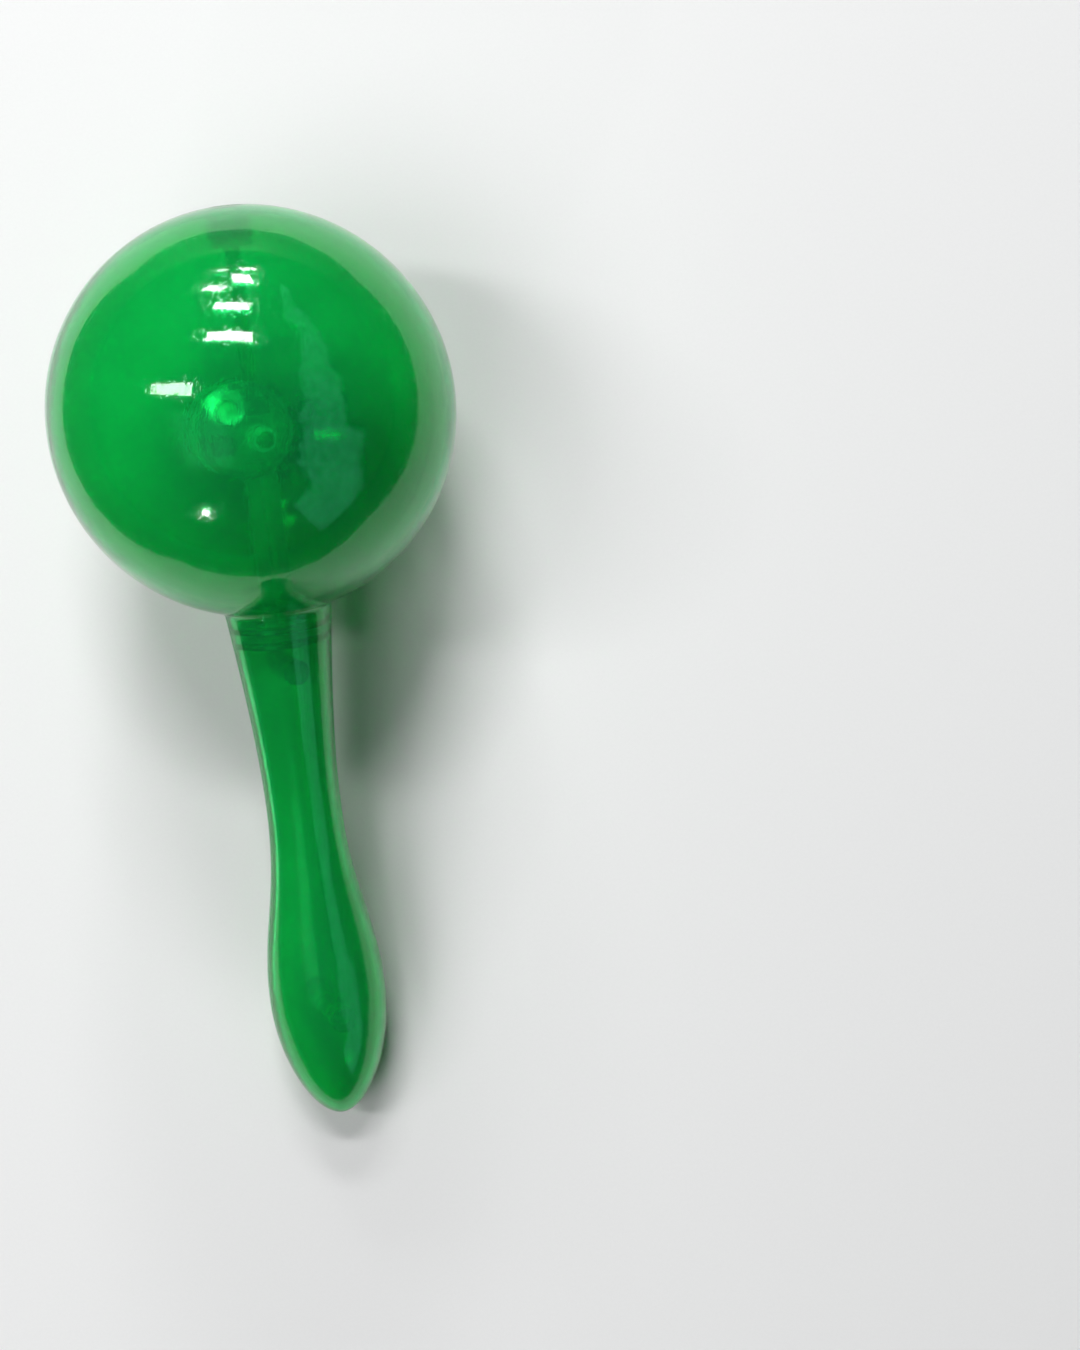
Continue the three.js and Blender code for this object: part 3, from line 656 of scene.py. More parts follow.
def shell_walls(shape):
    """Outer and inner line of the wall, station by station, then down both faces of the button's sleeve to
    its end, where they meet."""
    at, normal, tip_z = maraca_outline(shape)
    inside = at - shape.wall * normal
    sleeve_outer = BORE + SLEEVE
    end = shape.ball_radius - SLEEVE_LENGTH
    wall_end = math.sqrt((shape.ball_radius - shape.wall) ** 2 - sleeve_outer**2)
    inside[:, 0] = np.maximum(inside[:, 0], 0)
    keep = (inside[:, 0] > sleeve_outer) | (inside[:, 1] < 0)
    last = int(np.nonzero(keep)[0][-1])
    share = np.clip((np.arange(len(at)) - last) / (len(at) - 1 - last), 0, 1)
    corner = np.array([sleeve_outer, wall_end])
    inside = np.where(keep[:, None], inside, inside[last] + share[:, None] * (corner - inside[last]))
    outer = rounded([at[-2], [BORE, at[-1, 1]], [BORE, end], [BORE + SLEEVE / 2, end]], shape.edge)[1:]
    t = np.linspace(0, 1, len(outer))[:, None]
    inner = corner + t * (np.array([sleeve_outer, end]) - corner)
    inner[-1] = outer[-1]
    return np.vstack([at[:-1], outer]), np.vstack([inside[:-1], inner]), tip_z


def half_turned(outer, inner, side, seam, tongue, steps):
    """Half a turn of a wall about Z, closed across its two seams. Every row is a loop: the outer line's half
    circle, three points across one seam, the inner line's half circle back, and three points across the
    other. tongue is (its share of the wall from outside, its height): the inner part of the wall stands so
    far past the seam. Half circles are cut off at the seam's plane."""
    angles = np.linspace(0, math.pi, steps + 1)
    share, height = tongue
    level = side * seam
    inner_level = level + height

    def half(line, turn, cut):
        points = turned(line, turn)
        points[..., 1] = side * np.maximum(points[..., 1], cut * side)
        return points

    def across(part, y, sign):
        line = outer + part * (inner - outer)
        x = np.sqrt(np.maximum(line[:, 0] ** 2 - y**2, 0)) * sign
        return np.stack([x, np.full(len(line), y), line[:, 1]], -1)[:, None]

    low = inner_level if side * height > 0 else 0.0
    loops = [half(outer, angles, level)]
    loops += [across(share, level, -1), across(share, inner_level, -1), across(1.0, inner_level, -1)]
    loops += [half(inner, angles[::-1], low)]
    loops += [across(1.0, inner_level, 1), across(share, inner_level, 1), across(share, level, 1)]
    return np.concatenate(loops, 1)


def boss(z, side, seam, reach, hole):
    """A round pillar from the seam out to the wall, with a blind hole or a peg on its face. Its profile is
    turned about Z and laid along Y."""
    hollow = [[PEG + FIT, PEG_LENGTH + FIT], [PEG + FIT, 0]]
    inner = hollow if hole else [[PEG_TIP, -PEG_LENGTH], [PEG, 0]]
    line = [[0, inner[0][1]], *inner, [BOSS, 0], [BOSS, reach], [0, reach]]
    grid = lathed(line, 0.15 * MM, 40)
    grid[..., 2] = side * (grid[..., 2] + seam)
    return along_y(grid, 0, z, 0)


def wall_reach(shape, outer, z):
    """Middle radius of the wall at a height of the handle."""
    below = outer[outer[:, 1] < -shape.ball_radius - NECK_DOWN]
    return np.interp(z, below[:, 1], below[:, 0]) - shape.wall / 2


def clamp_rib(inner, reach, low, high):
    """The two lines of a rib's section, from its inner edge out into the wall."""
    middle = (low + high) / 2
    top = rounded([[inner, middle], [inner, high], [reach, high], [reach, middle]], 0.2 * MM)
    return top, top * [1, -1] + [0, low + high]


FOOT_TOP_DOWN = 3.1 * MM
FOOT_THICK = 1.5 * MM
RIB_THICK = 1.2 * MM
RIB_DEPTH = 2.2 * MM


def foot_sizes(shape):
    """Top, underside and radius of the foot of the core's post, which the neck's ribs clamp."""
    top = -shape.ball_radius - FOOT_TOP_DOWN
    bottom = top - FOOT_THICK
    outside = shape.neck_radius + TAPER * (bottom + shape.ball_radius + NECK_DOWN)
    return top, bottom, outside - shape.wall * TAPER_SLOPE - FIT


def finish_below(mesh, depth):
    """Gives the second finish to each face whose centre lies further down the axis than a depth."""
    centres = np.empty(3 * len(mesh.polygons), np.float32)
    mesh.polygons.foreach_get("center", centres)
    down = (BALL_CENTRE - centres.reshape(-1, 3)) @ POLE
    mesh.polygons.foreach_set("material_index", (down > depth).astype(np.int32))


class MARACA_OT_shells(bpy.types.Operator):
    """Makes the two moulded halves with their seam, sleeve, neck ribs and bosses"""

    bl_idname = "maraca.shells"
    bl_label = "Shells"

    def execute(self, context):
        shape, colours = context.scene.maraca_shape, context.scene.maraca_colours
        ball_plastic = shell_plastic("ball_green", colours.shell, colours.shell_clearness)
        handle_plastic = shell_plastic("handle_green", colours.handle, colours.handle_clearness)
        outer, inner, tip_z = shell_walls(shape)
        top, bottom, foot = foot_sizes(shape)
        ribs = [(top + FIT, top + FIT + RIB_THICK), (bottom - FIT - RIB_THICK, bottom - FIT)]
        bosses = [-shape.ball_radius - UPPER_BOSS_DOWN, tip_z + LOWER_BOSS_UP]
        gap = shape.seam_gap / 2
        front_tongue = ((shape.wall - TONGUE) / shape.wall, TONGUE_HEIGHT + gap)
        rear_tongue = ((shape.wall - TONGUE - TONGUE_PLAY) / shape.wall, TONGUE_HEIGHT + TONGUE_PLAY - gap)
        for name, side, tongue in (("front_shell", -1, front_tongue), ("rear_shell", 1, rear_tongue)):
            grids = [half_turned(outer, inner, side, gap, tongue, 112)]
            for low, high in ribs:
                upper, lower = clamp_rib(foot - RIB_DEPTH, wall_reach(shape, outer, low), low, high)
                grids.append(half_turned(upper, lower, side, gap, (0.5, 0.0), 48))
            grids += [boss(z, side, gap, wall_reach(shape, outer, z) - gap, side < 0) for z in bosses]
            parts = [(ball_plastic, grids), (handle_plastic, [])]
            item = make_piece(f"{name}_moulding", UPRIGHT, parts, "maraca", [name])
            finish_below(item.data, shape.ball_radius)
        return {"FINISHED"}


BUTTON_RADIUS = 3.5 * MM
FLANGE_RADIUS = 4.4 * MM
FLANGE_THICK = 1.2 * MM
ROD_RADIUS = 1.5 * MM
BUTTON_EDGES = np.array([0.3, 0.4, 0.2, 0.2, 0.2, 0.35]) * MM
FACE_LOWER = 0.001


class MARACA_OT_button(bpy.types.Operator):
    """Makes the push button with its flange and long rod"""

    bl_idname = "maraca.button"
    bl_label = "Push button"

    def execute(self, context):
        shape, colours = context.scene.maraca_shape, context.scene.maraca_colours
        ball = shape.ball_radius * (1 - FACE_LOWER)
        top = shape.ball_radius - SLEEVE_LENGTH - FIT
        low = top - FLANGE_THICK
        rod_end = core_plunger_tip() + CORE_UP + ROD_PLAY
        face = np.linspace(BUTTON_RADIUS, 0, 14)
        dome = np.column_stack([face, np.sqrt(ball**2 - face**2)])
        body = [[0, rod_end], [ROD_RADIUS, rod_end], [ROD_RADIUS, low], [FLANGE_RADIUS, low]]
        body += [[FLANGE_RADIUS, top], [BUTTON_RADIUS, top], dome[0], dome[1]]
        grid = turned(np.vstack([rounded(body, BUTTON_EDGES, 5), dome[2:]]), all_round(72))
        parts = [(button_plastic(colours), [grid])]
        make_piece("push_button", UPRIGHT, parts, "button", ["top_button"])
        return {"FINISHED"}


# Core: x right, y up and z out of the board's front, in metres from its centre

CORE_SIDE = -2.8 * MM
CORE_UP = -3.3 * MM
AXIS_X = 2.8 * MM
CELL_RADIUS = 3.95 * MM
CELL_THICK = 3.6 * MM
CELL_CIRCLE = (2 * CELL_RADIUS + FIT) / math.sqrt(3)
CAVITY = CELL_CIRCLE + CELL_RADIUS + FIT
CORE_WALL = 1.2 * MM
CORE_RADIUS = CAVITY + CORE_WALL
STACK = 0.2 * MM
BOARD_FRONT = -1.75 * MM - STACK
BOARD_BACK = BOARD_FRONT - 1.0 * MM
BOARD_RADIUS = CAVITY - FIT
CELL_BACK = BOARD_BACK - 2 * STACK - 0.3 * MM - CELL_THICK
FLOOR_FRONT = CELL_BACK - 2 * STACK - 0.3 * MM
FLOOR_BACK = FLOOR_FRONT - CORE_WALL
CUP_RIM = 0.6 * MM
RIM_STEP = 1.0 * MM
RIM_MIDDLE = (CAVITY + CORE_RADIUS) / 2
COVER_FRONT = 3.7 * MM
COVER_FACE = 1.2 * MM
COVER_PLAY = 0.15 * MM
POST_THIN = 0.7 * MM
POST_WIDE = 3.5 * MM
LEDGE_DEEP = 2.0 * MM
LEDGE_HALF = 0.75 * MM
ROD_PORT = 1.8 * MM
ROD_PLAY = 0.35 * MM
LED_RADIUS = 2.5 * MM
LED_FLANGE = 0.4 * MM
LED_HEIGHT = 8.6 * MM
LED_HOLE = LED_RADIUS + FIT
SWITCH_SIDE = 6.0 * MM
SWITCH_HIGH = 3.5 * MM
SWITCH_TOP = math.sqrt(BOARD_RADIUS**2 - (AXIS_X + SWITCH_SIDE / 2) ** 2)
LED_CIRCLE = CAVITY - FIT - LED_RADIUS - LED_FLANGE
UPPER_LED_X = AXIS_X - SWITCH_SIDE / 2 - 0.6 * MM - LED_RADIUS - LED_FLANGE
UPPER_LED = np.array([UPPER_LED_X, math.sqrt(LED_CIRCLE**2 - UPPER_LED_X**2)])
LOWER_LED = np.array([3.6, -2.1]) * MM
CORE = (UPRIGHT[0] @ ON_BOARD, placed(np.array([CORE_SIDE, 0.0, CORE_UP]), UPRIGHT))


def core_plunger_tip():
    """Height of the plunger's tip in the core's frame, just inside the cup's wall."""
    return math.sqrt(CORE_RADIUS**2 - AXIS_X**2) - 0.2 * MM


def port_angles():
    """Angles round the core, close together where the rod's port cuts the rim."""
    across = np.linspace(-1.3, 1.3, 41) * ROD_PORT
    near = np.arccos(np.clip((AXIS_X + across) / CORE_RADIUS, -1, 1))
    return np.unique(np.round(np.concatenate([all_round(112), near]), 6))


def with_port(line, nearer):
    """A line turned about Z, its rim moved to the edge of the rod's round port, whose half height at each
    angle is the square root of its radius squared less the distance across squared. nearer says how far."""
    angles = port_angles()
    grid = turned(line, angles)
    across = CORE_RADIUS * np.cos(angles) - AXIS_X
    cuts = (np.abs(across) < ROD_PORT) & (np.sin(angles) > 0)
    depth = np.sqrt(np.maximum(ROD_PORT**2 - across**2, 0))
    grid[..., 2] = np.where(cuts, nearer(grid[..., 2], depth), grid[..., 2])
    return grid


def core_cup():
    """The cup turned about Z, its rim lowered along the round port of the button's rod."""
    step = CUP_RIM - RIM_STEP
    corners = [
        [0, FLOOR_BACK], [CORE_RADIUS, FLOOR_BACK], [CORE_RADIUS, CUP_RIM], [RIM_MIDDLE, CUP_RIM],
        [RIM_MIDDLE, step], [CAVITY, step], [CAVITY, FLOOR_FRONT], [0, FLOOR_FRONT],
    ]
    line = rounded(corners, np.array([0.8, 0.12, 0.12, 0.1, 0.12, 0.3]) * MM)
    return with_port(line, lambda height, depth: np.minimum(height, -depth))


def core_post(shape):
    """Two crossed ribs with rounded edges, from the cup down to a round foot in the neck."""
    _, bottom, foot = foot_sizes(shape)
    low, high = bottom - CORE_UP, -CAVITY + CORE_WALL + RIM_STEP
    ribs = [
        rounded_box([AXIS_X - x, low + FIT, -z], [AXIS_X + x, high, z], 0.25 * MM)
        for x, z in ((POST_WIDE, POST_THIN), (POST_THIN, POST_WIDE))
    ]
    return [*ribs, along_y(disc(foot, 0, FOOT_THICK, 0.2 * MM, 96), AXIS_X, 0, low)]


class MARACA_OT_core_carrier(bpy.types.Operator):
    """Makes the core's cup, its post of crossed ribs and the foot"""

    bl_idname = "maraca.core_carrier"
    bl_label = "Core carrier"

    def execute(self, context):
        shape, colours = context.scene.maraca_shape, context.scene.maraca_colours
        angles = [math.pi / 2 + (i + 0.5) * 2 * math.pi / 3 for i in range(3)]
        low = [CAVITY - LEDGE_DEEP, -LEDGE_HALF, FLOOR_FRONT - CORE_WALL / 2]
        high = [RIM_MIDDLE, LEDGE_HALF, BOARD_BACK - STACK]
        ledges = [rounded_box(low, high, 0.15 * MM) @ turned_about_z(angle).T for angle in angles]
        parts = [(core_plastic(colours), [core_cup(), *core_post(shape), *ledges])]
        make_piece("core_cup_and_post", CORE, parts, "maraca", ["core_carrier"])
        return {"FINISHED"}


class MARACA_OT_core_cover(bpy.types.Operator):
    """Makes the clear cover over the core"""

    bl_idname = "maraca.core_cover"
    bl_label = "Core cover"

    def execute(self, context):
        back = COVER_FRONT - COVER_FACE
        lip = RIM_MIDDLE - COVER_PLAY
        rim = CUP_RIM + COVER_PLAY
        corners = [
            [0, back], [CAVITY, back], [CAVITY, rim - RIM_STEP], [lip, rim - RIM_STEP],
            [lip, rim], [CORE_RADIUS, rim], [CORE_RADIUS, COVER_FRONT], [0, COVER_FRONT],
        ]
        line = rounded(corners, np.array([0.3, 0.1, 0.1, 0.1, 0.1, 0.7]) * MM)
        grid = with_port(line, lambda height, depth: np.maximum(height, np.minimum(depth, back)))
        hole = disc(LED_HOLE, 0, 4 * MM, 0, 56)
        holes = [hole + [*led, back - MM] for led in (UPPER_LED, LOWER_LED)]
        parts = [(cover_plastic(context.scene.maraca_colours), [grid])]
        make_piece("clear_cover", CORE, parts, "maraca", ["core_cover"], holes)
        return {"FINISHED"}


def led_lens():
    """A round lens on a flange with one flat: the flange's radius is cut to the flat's distance over the
    angle's cosine, and the tip is a half sphere."""
    angles = all_round(64)
    rim = LED_RADIUS + LED_FLANGE
    shoulder = LED_HEIGHT - LED_RADIUS
    dome = np.linspace(0, math.pi / 2, 14)[1:]
    tip = np.column_stack([LED_RADIUS * np.cos(dome), shoulder + LED_RADIUS * np.sin(dome)])
    flange = rounded([[0, 0], [rim, 0], [rim, MM], [LED_RADIUS, MM], [LED_RADIUS, shoulder]], 0.12 * MM)
    grid = turned(np.vstack([flange, tip]), angles)
    across = np.hypot(grid[..., 0], grid[..., 1])
    limit = LED_RADIUS / np.maximum(np.cos(angles), 0.2)
    share = np.minimum(across, limit) / np.maximum(across, 1e-9)
    grid[..., :2] *= share[..., None]
    return grid


def led_leads():
    """The two leads inside the lens, one with the cup that holds the chip, worked out in millimetres."""
    post = rounded_box([-1.1, -0.25, 0.1], [-0.4, 0.25, 4.6], 0.08)
    anvil = rounded_box([0.0, -0.25, 0.1], [1.3, 0.25, 3.9], 0.08)
    cup = lathed([[0, 3.8], [0.6, 3.8], [0.95, 4.7], [0.8, 4.7], [0.45, 4.1], [0, 4.1]], 0.05, 24)
    return [grid * MM for grid in (post, anvil, cup + [0.35, 0, 0])]


class MARACA_OT_leds(bpy.types.Operator):
    """Makes the two LEDs: resin lenses with their leads inside, the upper one lit"""

    bl_idname = "maraca.leds"
    bl_label = "LEDs"

    def execute(self, context):
        colours = context.scene.maraca_colours
        metal = tinned_leg()
        for name, led, lens, slot in (
            ("upper_led", UPPER_LED, lit_lens(colours), "lit_lens"),
            ("lower_led", LOWER_LED, clear_lens(colours), "clear_lens"),
        ):
            up = np.array([*led, BOARD_FRONT + STACK])
            parts = [(lens, [led_lens() + up]), (metal, [grid + up for grid in led_leads()])]
            make_piece(f"{name}_lens", CORE, parts, "maraca", [name])
        return {"FINISHED"}


CHIP_WIDE = 4.9 * MM
CHIP_HIGH = 3.9 * MM
CHIP_DEEP = 1.5 * MM
CHIP_ANGLE = math.radians(213)
LEG_REACH = 0.6 * MM
LEG_PITCH = 1.27 * MM
LEG_HALF = 0.2 * MM


def chip_grids():
    """The chip's case at the lower left of the board, and its eight legs in two rows."""
    circle = BOARD_RADIUS - math.hypot(CHIP_WIDE, CHIP_HIGH + 2 * LEG_REACH) / 2
    x, y = circle * math.cos(CHIP_ANGLE), circle * math.sin(CHIP_ANGLE)
    wide, high, base = CHIP_WIDE / 2, CHIP_HIGH / 2, BOARD_FRONT + STACK
    top = [x + wide, y + high, base + CHIP_DEEP]
    case = rounded_box([x - wide, y - high, base + 0.15 * MM], top, 0.12 * MM)
    legs = []
    for leg in x + (np.arange(4) - 1.5) * LEG_PITCH:
        for side in (-1, 1):
            near, far = sorted((y + side * (high - 0.1 * MM), y + side * (high + LEG_REACH)))
            corner = [leg + LEG_HALF, far, base + 0.5 * MM]
            legs.append(rounded_box([leg - LEG_HALF, near, base], corner, 0.08 * MM))
    return [case], legs


def switch_grids():
    """The switch's case with the ring round its plunger, and the two halves of its metal top."""
    half, depth = SWITCH_SIDE / 2, SWITCH_HIGH / 2
    low, top, port = SWITCH_TOP - SWITCH_HIGH, SWITCH_TOP - 0.5 * MM, 1.4 * MM
    ring = rounded(np.array([[1.3, 0], [1.3, 0.5], [1.7, 0.5], [1.7, 0]]) * MM, 0.08 * MM)
    ring = turned(np.vstack([ring, ring[:1]]), all_round(40))
    case = rounded_box([AXIS_X - half, low, -depth], [AXIS_X + half, SWITCH_TOP - 0.4 * MM, depth], 0.2 * MM)
    plates = [
        rounded_box([AXIS_X + left, top, -depth], [AXIS_X + right, SWITCH_TOP - 0.1 * MM, depth], 0.1 * MM)
        for left, right in ((-half, -port), (port, half))
    ]
    return [case, along_y(ring, AXIS_X, 0, top)], plates


class MARACA_OT_board(bpy.types.Operator):
    """Makes the circuit board, the driver chip, the switch and its plunger"""

    bl_idname = "maraca.board"
    bl_label = "Board and switch"

    def execute(self, context):
        board = [(board_mask(), [disc(BOARD_RADIUS, BOARD_BACK, BOARD_FRONT, 0.1 * MM, 96)])]
        make_piece("solder_masked_board", CORE, board, "maraca", ["circuit_board"])
        case, metal = black_case(), tinned_leg()
        for name, node, grids in (
            ("chip_with_legs", "driver_chip", chip_grids()), ("switch_case", "switch_body", switch_grids())
        ):
            make_piece(name, CORE, list(zip((case, metal), grids)), "maraca", [node])
        pin = disc(MM, 0, core_plunger_tip() - SWITCH_TOP + MM, 0.2 * MM, 40)
        pin = [(case, [along_y(pin, AXIS_X, 0, SWITCH_TOP - MM)])]
        make_piece("switch_pin", CORE, pin, "plunger", ["switch_plunger"])
        return {"FINISHED"}


CAP_RADIUS = CELL_RADIUS - 0.7 * MM
CAP_STEP = 0.6 * MM


def cell_grids():
    """A cell's can and cap, and the gasket that shows between them."""
    low, high = -CELL_THICK / 2, CELL_THICK / 2
    step, seal = low + CAP_STEP, CAP_RADIUS + 0.3 * MM
    can = [[0, low + 0.3 * MM], [CELL_RADIUS, step], [CELL_RADIUS, high], [0, high]]
    ring = [[0, low + 0.2 * MM], [seal, low + 0.3 * MM], [seal, step + 0.1 * MM], [0, step]]
    cap = disc(CAP_RADIUS, low, step, 0.2 * MM, 72)
    return [lathed(can, 0.3 * MM, 72), cap], [lathed(ring, 0.1 * MM, 72)]


class MARACA_OT_cells(bpy.types.Operator):
    """Makes the button cells and finishes the contact strips"""

    bl_idname = "maraca.cells"
    bl_label = "Cells and contacts"

    def execute(self, context):
        finishes = (cell_can(), cell_gasket())
        for i in range(3):
            angle = math.pi / 2 + i * 2 * math.pi / 3
            x, y = CELL_CIRCLE * math.cos(angle), CELL_CIRCLE * math.sin(angle)
            turn = np.diag([1.0, -1.0, -1.0]) if i == 1 else np.eye(3)
            own = (turn, np.array([x, y, CELL_BACK + CELL_THICK / 2]))
            grids = [[placed(grid, own) for grid in group] for group in cell_grids()]
            parts = list(zip(finishes, grids))
            make_piece(f"cell_{i + 1}_can", CORE, parts, "maraca", [f"button_cell_{i + 1}"])
        brass = contact_brass()
        for name in ("cell_bridge_rear", "cell_bridge_front", "cell_contact_rear", "cell_contact_front"):
            mesh = frame["nodes"][name].data
            mesh.materials.clear()
            mesh.materials.append(brass)
        return {"FINISHED"}


BEAD_INSIDE = 0.985
RIDGE = 0.012


class MARACA_OT_beads(bpy.types.Operator):
    """Makes the loose rattle beads, each with the faint ridge of its mould"""

    bl_idname = "maraca.beads"
    bl_label = "Rattle beads"

    def execute(self, context):
        plastic = bead_plastic(context.scene.maraca_colours)
        names = sorted(name for name in frame["nodes"] if name.startswith("rattle_bead_"))
        rise = np.radians([*np.linspace(-90, -3, 15), -1.5, 0, 1.5, *np.linspace(3, 90, 15)])
        for i, name in enumerate(names):
            low, high = (np.array(corner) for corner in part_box(name))
            radius = (high - low).min() / 2 * BEAD_INSIDE
            ridge = radius * (1 + RIDGE * (np.abs(rise) < 0.01))
            line = np.column_stack([ridge * np.cos(rise), ridge * np.sin(rise)])
            tilt = np.array(Matrix.Rotation(0.7 + 1.9 * i, 3, Vector((1.0, 0.3 * i, 0.5))))
            parts = [(plastic, [turned(line, all_round(40))])]
            make_piece(f"bead_{i + 1:02d}", (tilt, (low + high) / 2), parts, "beads", [name])
        return {"FINISHED"}


# Stage: the photograph's camera looks straight down from beside the maraca, under rows of tube lamps

CAMERA_ASIDE = np.array([0.05438, -0.06096, 0.464])
PICTURE_UP = Vector((0.102, 0.9948, 0.0))
PICTURE_HIGH_PX = 1350
FOCAL_PX = 2208
SENSOR = 36.0
SHEET_CENTRE = (0.0275, 0.0475)
SHEET_SHAPE = (0.8, 1.0)
TABLE_HALF = 6.0
TABLE_LOWER = 0.6 * MM
TUBES = [
    ("tube_a", (-0.073, 1.076), 0.726, 0.195, -8.4, 1.0),
    ("tube_b", (-0.02, 1.989), 0.713, 0.306, -9.7, 1.0),
    ("tube_c", (0.268, 4.033), 0.595, 1.235, 0.7, 1.0),
    ("tube_d", (0.604, 6.118), 0.604, 0.967, 10.0, 0.8),
    ("tube_e", (-0.479, 3.139), 0.674, 0.374, -31.2, 0.8),
    ("tube_f", (-0.634, 6.182), 0.869, 0.548, -46.3, 0.6),
    ("tube_g", (-1.133, 0.38), 0.96, 0.17, -11.6, 0.55),
]
CEILING = 1.5
FILL = ("fill", (-0.7, -0.5), 1.0, 1.0, 0.0)
SPOT_AT = Vector((-0.381, -0.703, 0.437))
SPOT_ON = Vector((-0.0091, 0.0344, 0.0791))
SPOT_SIZE = (0.05, 0.06)
SPOT_SHARE = 2.0
SPOT_HALF = math.radians(5.5)
WINDOW_AWAY = 2.2
WINDOW = [
    ((69, 20), (63, 21)), ((59, 40), (59, 27)), ((50, 39), (39, 31)), ((21, 56), (19, 34)),
    ((-27, 58), (5, 31)), ((-40, 52), (-15, 28)), ((-50, 48), (-15, 17)), ((-55, 46), (-25, 14)),
    ((-57, 30), (-36, 3)), ((-72, 27), (-51, 1)), ((-66, 2), (-64, 1)),
]


def area_lamp(name, place, width, height, radiance):
    """A lamp that shines along its own -Z: its power is radiance times its area times pi."""
    data = bpy.data.lights.new(name, "AREA")
    data.shape = "RECTANGLE"
    data.size, data.size_y = width, height
    data.energy = radiance * width * height * math.pi
    lamp = linked(name, data)
    lamp.matrix_world = place
    return lamp


def ceiling_lamp(name, at, width, height, turn, radiance):
    """A lamp in the ceiling that shines straight down."""
    place = Matrix.Translation((*at, CEILING)) @ Matrix.Rotation(math.radians(turn), 4, "Z")
    return area_lamp(name, place, width, height, radiance)


def narrow_spot(radiance):
    """A lamp that shines on one place only: its spread packs its power by tan a / (tan a - a), where a is
    half the spread, so the power is cut by as much."""
    aim = (SPOT_ON - SPOT_AT).to_track_quat("-Z", "Y").to_matrix().to_4x4()
    packed = 1 - SPOT_HALF / math.tan(SPOT_HALF)
    lamp = area_lamp("spot", Matrix.Translation(SPOT_AT) @ aim, *SPOT_SIZE, radiance * packed)
    lamp.data.spread = 2 * SPOT_HALF


def stage_surface(name, points, finish):
    """A surface of the stage through an open grid of points."""
    rows, columns = points.shape[:2]
    i, j = np.meshgrid(np.arange(rows - 1), np.arange(columns - 1), indexing="ij")
    first = (i * columns + j).ravel()
    mesh = bpy.data.meshes.new(name)
    faces = np.column_stack([first, first + 1, first + columns + 1, first + columns])
    mesh.from_pydata(points.reshape(-1, 3), [], faces)
    mesh.materials.append(finish)
    item = linked(name, mesh)
    return item


def flat_sheet(name, low, high, height, finish):
    """A flat floor: x and y run evenly between two corners at one height."""
    x, y = np.meshgrid(*np.linspace(low, high, 40).T)
    stage_surface(name, np.dstack([x, y, np.full(x.shape, height)]), finish)


def bright_window(radiance):
    """The window that the ball mirrors: a strip of faces on a sphere round the ball, between two lines of
    azimuths and elevations, each run out evenly to more points. The camera and matt surfaces don't see it."""
    angles = np.radians(np.array(WINDOW, float))
    rows = np.linspace(0, len(angles) - 1, 61)
    near = np.minimum(rows.astype(int), len(angles) - 2)
    part = (rows - near)[:, None, None]
    lines = angles[near] * (1 - part) + angles[near + 1] * part
    across = np.linspace(0, 1, 9)[None, :, None]
    azimuth, rise = np.moveaxis(lines[:, :1] * (1 - across) + lines[:, 1:] * across, -1, 0)
    way = np.stack([np.cos(rise) * np.cos(azimuth), np.cos(rise) * np.sin(azimuth), np.sin(rise)], -1)
    item = stage_surface("window", BALL_CENTRE + WINDOW_AWAY * way, window_light(radiance))
    edge = np.broadcast_to(1 - np.abs(2 * across[..., 0] - 1), way.shape[:2])
    values = edge.astype(np.float32).ravel()
    item.data.attributes.new("edge", "FLOAT", "POINT").data.foreach_set("value", values)
    item.visible_camera = item.visible_diffuse = False


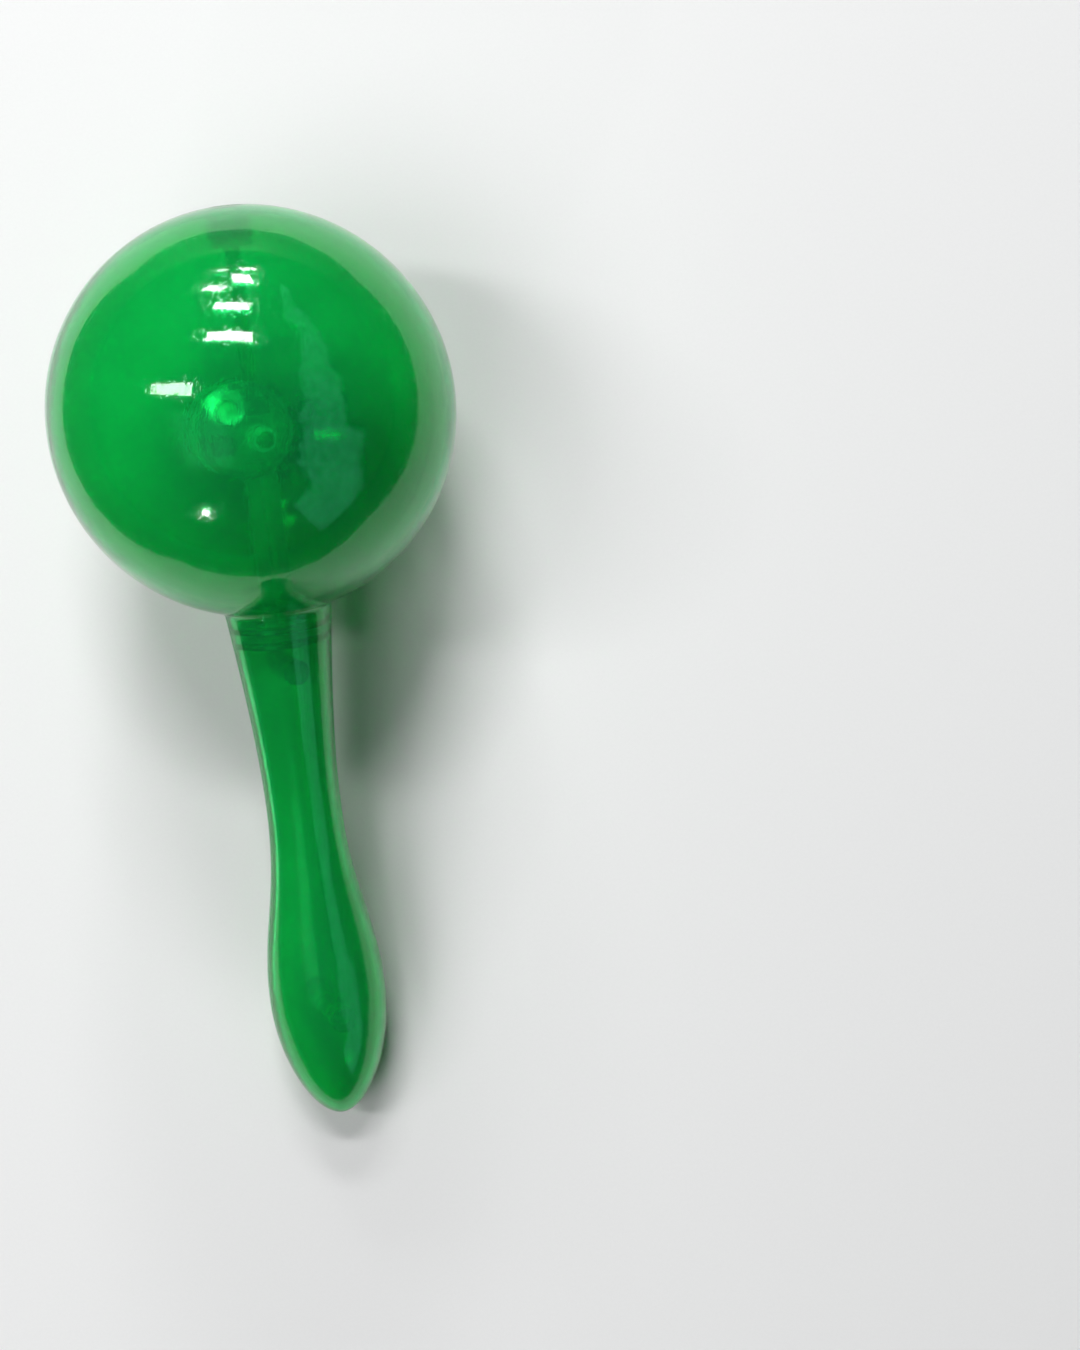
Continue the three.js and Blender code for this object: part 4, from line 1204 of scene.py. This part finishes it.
class MARACA_OT_stage(bpy.types.Operator):
    """Sets the white sheet, the table, the lamps and the camera"""

    bl_idname = "maraca.stage"
    bl_label = "Stage"

    def execute(self, context):
        scene, stage = context.scene, context.scene.maraca_stage
        half = np.array(SHEET_SHAPE) * stage.sheet_side / 2
        flat_sheet("sheet", SHEET_CENTRE - half, SHEET_CENTRE + half, 0.0, white_sheet())
        flat_sheet("table", [-TABLE_HALF] * 2, [TABLE_HALF] * 2, -TABLE_LOWER, dark_table())
        for *tube, share in TUBES:
            ceiling_lamp(*tube, stage.lamp_radiance * share)
        ceiling_lamp(*FILL, stage.fill_radiance).visible_glossy = False
        narrow_spot(stage.lamp_radiance * SPOT_SHARE)
        bright_window(stage.window_radiance)
        scene.world = bpy.data.worlds.new("room")
        scene.world.use_nodes = True
        room = scene.world.node_tree.nodes["Background"].inputs
        room["Color"].default_value = (0.9, 0.95, 1.0, 1.0)
        room["Strength"].default_value = stage.room_light
        scene.view_settings.view_transform = "Standard"

        data = bpy.data.cameras.new("camera")
        data.lens, data.sensor_width = FOCAL_PX * SENSOR / PICTURE_HIGH_PX, SENSOR
        back = Vector((0.0, 0.0, 1.0))
        right = PICTURE_UP.cross(back).normalized()
        turn = Matrix((right, back.cross(right), back)).transposed()
        scene.camera = linked("camera", data)
        scene.camera.matrix_world = Matrix.Translation(Vector(BALL_CENTRE + CAMERA_ASIDE)) @ turn.to_4x4()
        return {"FINISHED"}


PIECES = (
    MARACA_OT_shells, MARACA_OT_button, MARACA_OT_core_carrier, MARACA_OT_core_cover, MARACA_OT_leds,
    MARACA_OT_board, MARACA_OT_cells, MARACA_OT_beads,
)


class MARACA_PT_panel(bpy.types.Panel):
    """Sizes, colours and steps of the maraca"""

    bl_label = "Maraca"
    bl_idname = "MARACA_PT_panel"
    bl_space_type = "VIEW_3D"
    bl_region_type = "UI"
    bl_category = "Maraca"

    def draw(self, context):
        for group in (context.scene.maraca_shape, context.scene.maraca_colours, context.scene.maraca_stage):
            box = self.layout.box()
            for name in group.__annotations__:
                box.prop(group, name)
        for operator in (*PIECES, MARACA_OT_stage):
            self.layout.operator(operator.bl_idname)


GROUPS = (("maraca_shape", MaracaShape), ("maraca_colours", MaracaColours), ("maraca_stage", MaracaStage))
CLASSES = (*[group for _, group in GROUPS], *PIECES, MARACA_OT_stage, MARACA_PT_panel)


def register():
    """Registers the classes and gives the scene its settings."""
    for item in CLASSES:
        bpy.utils.register_class(item)
    for name, group in GROUPS:
        setattr(bpy.types.Scene, name, PointerProperty(type=group))


def unregister():
    """Takes the settings and classes away again."""
    for name, _ in GROUPS:
        delattr(bpy.types.Scene, name)
    for item in reversed(CLASSES):
        bpy.utils.unregister_class(item)


def main():
    """Makes every piece, then the stage."""
    register()
    bpy.ops.maraca.shells()
    bpy.ops.maraca.button()
    bpy.ops.maraca.core_carrier()
    bpy.ops.maraca.core_cover()
    bpy.ops.maraca.leds()
    bpy.ops.maraca.board()
    bpy.ops.maraca.cells()
    bpy.ops.maraca.beads()
    bpy.ops.maraca.stage()


if __name__ == "__main__":
    main()
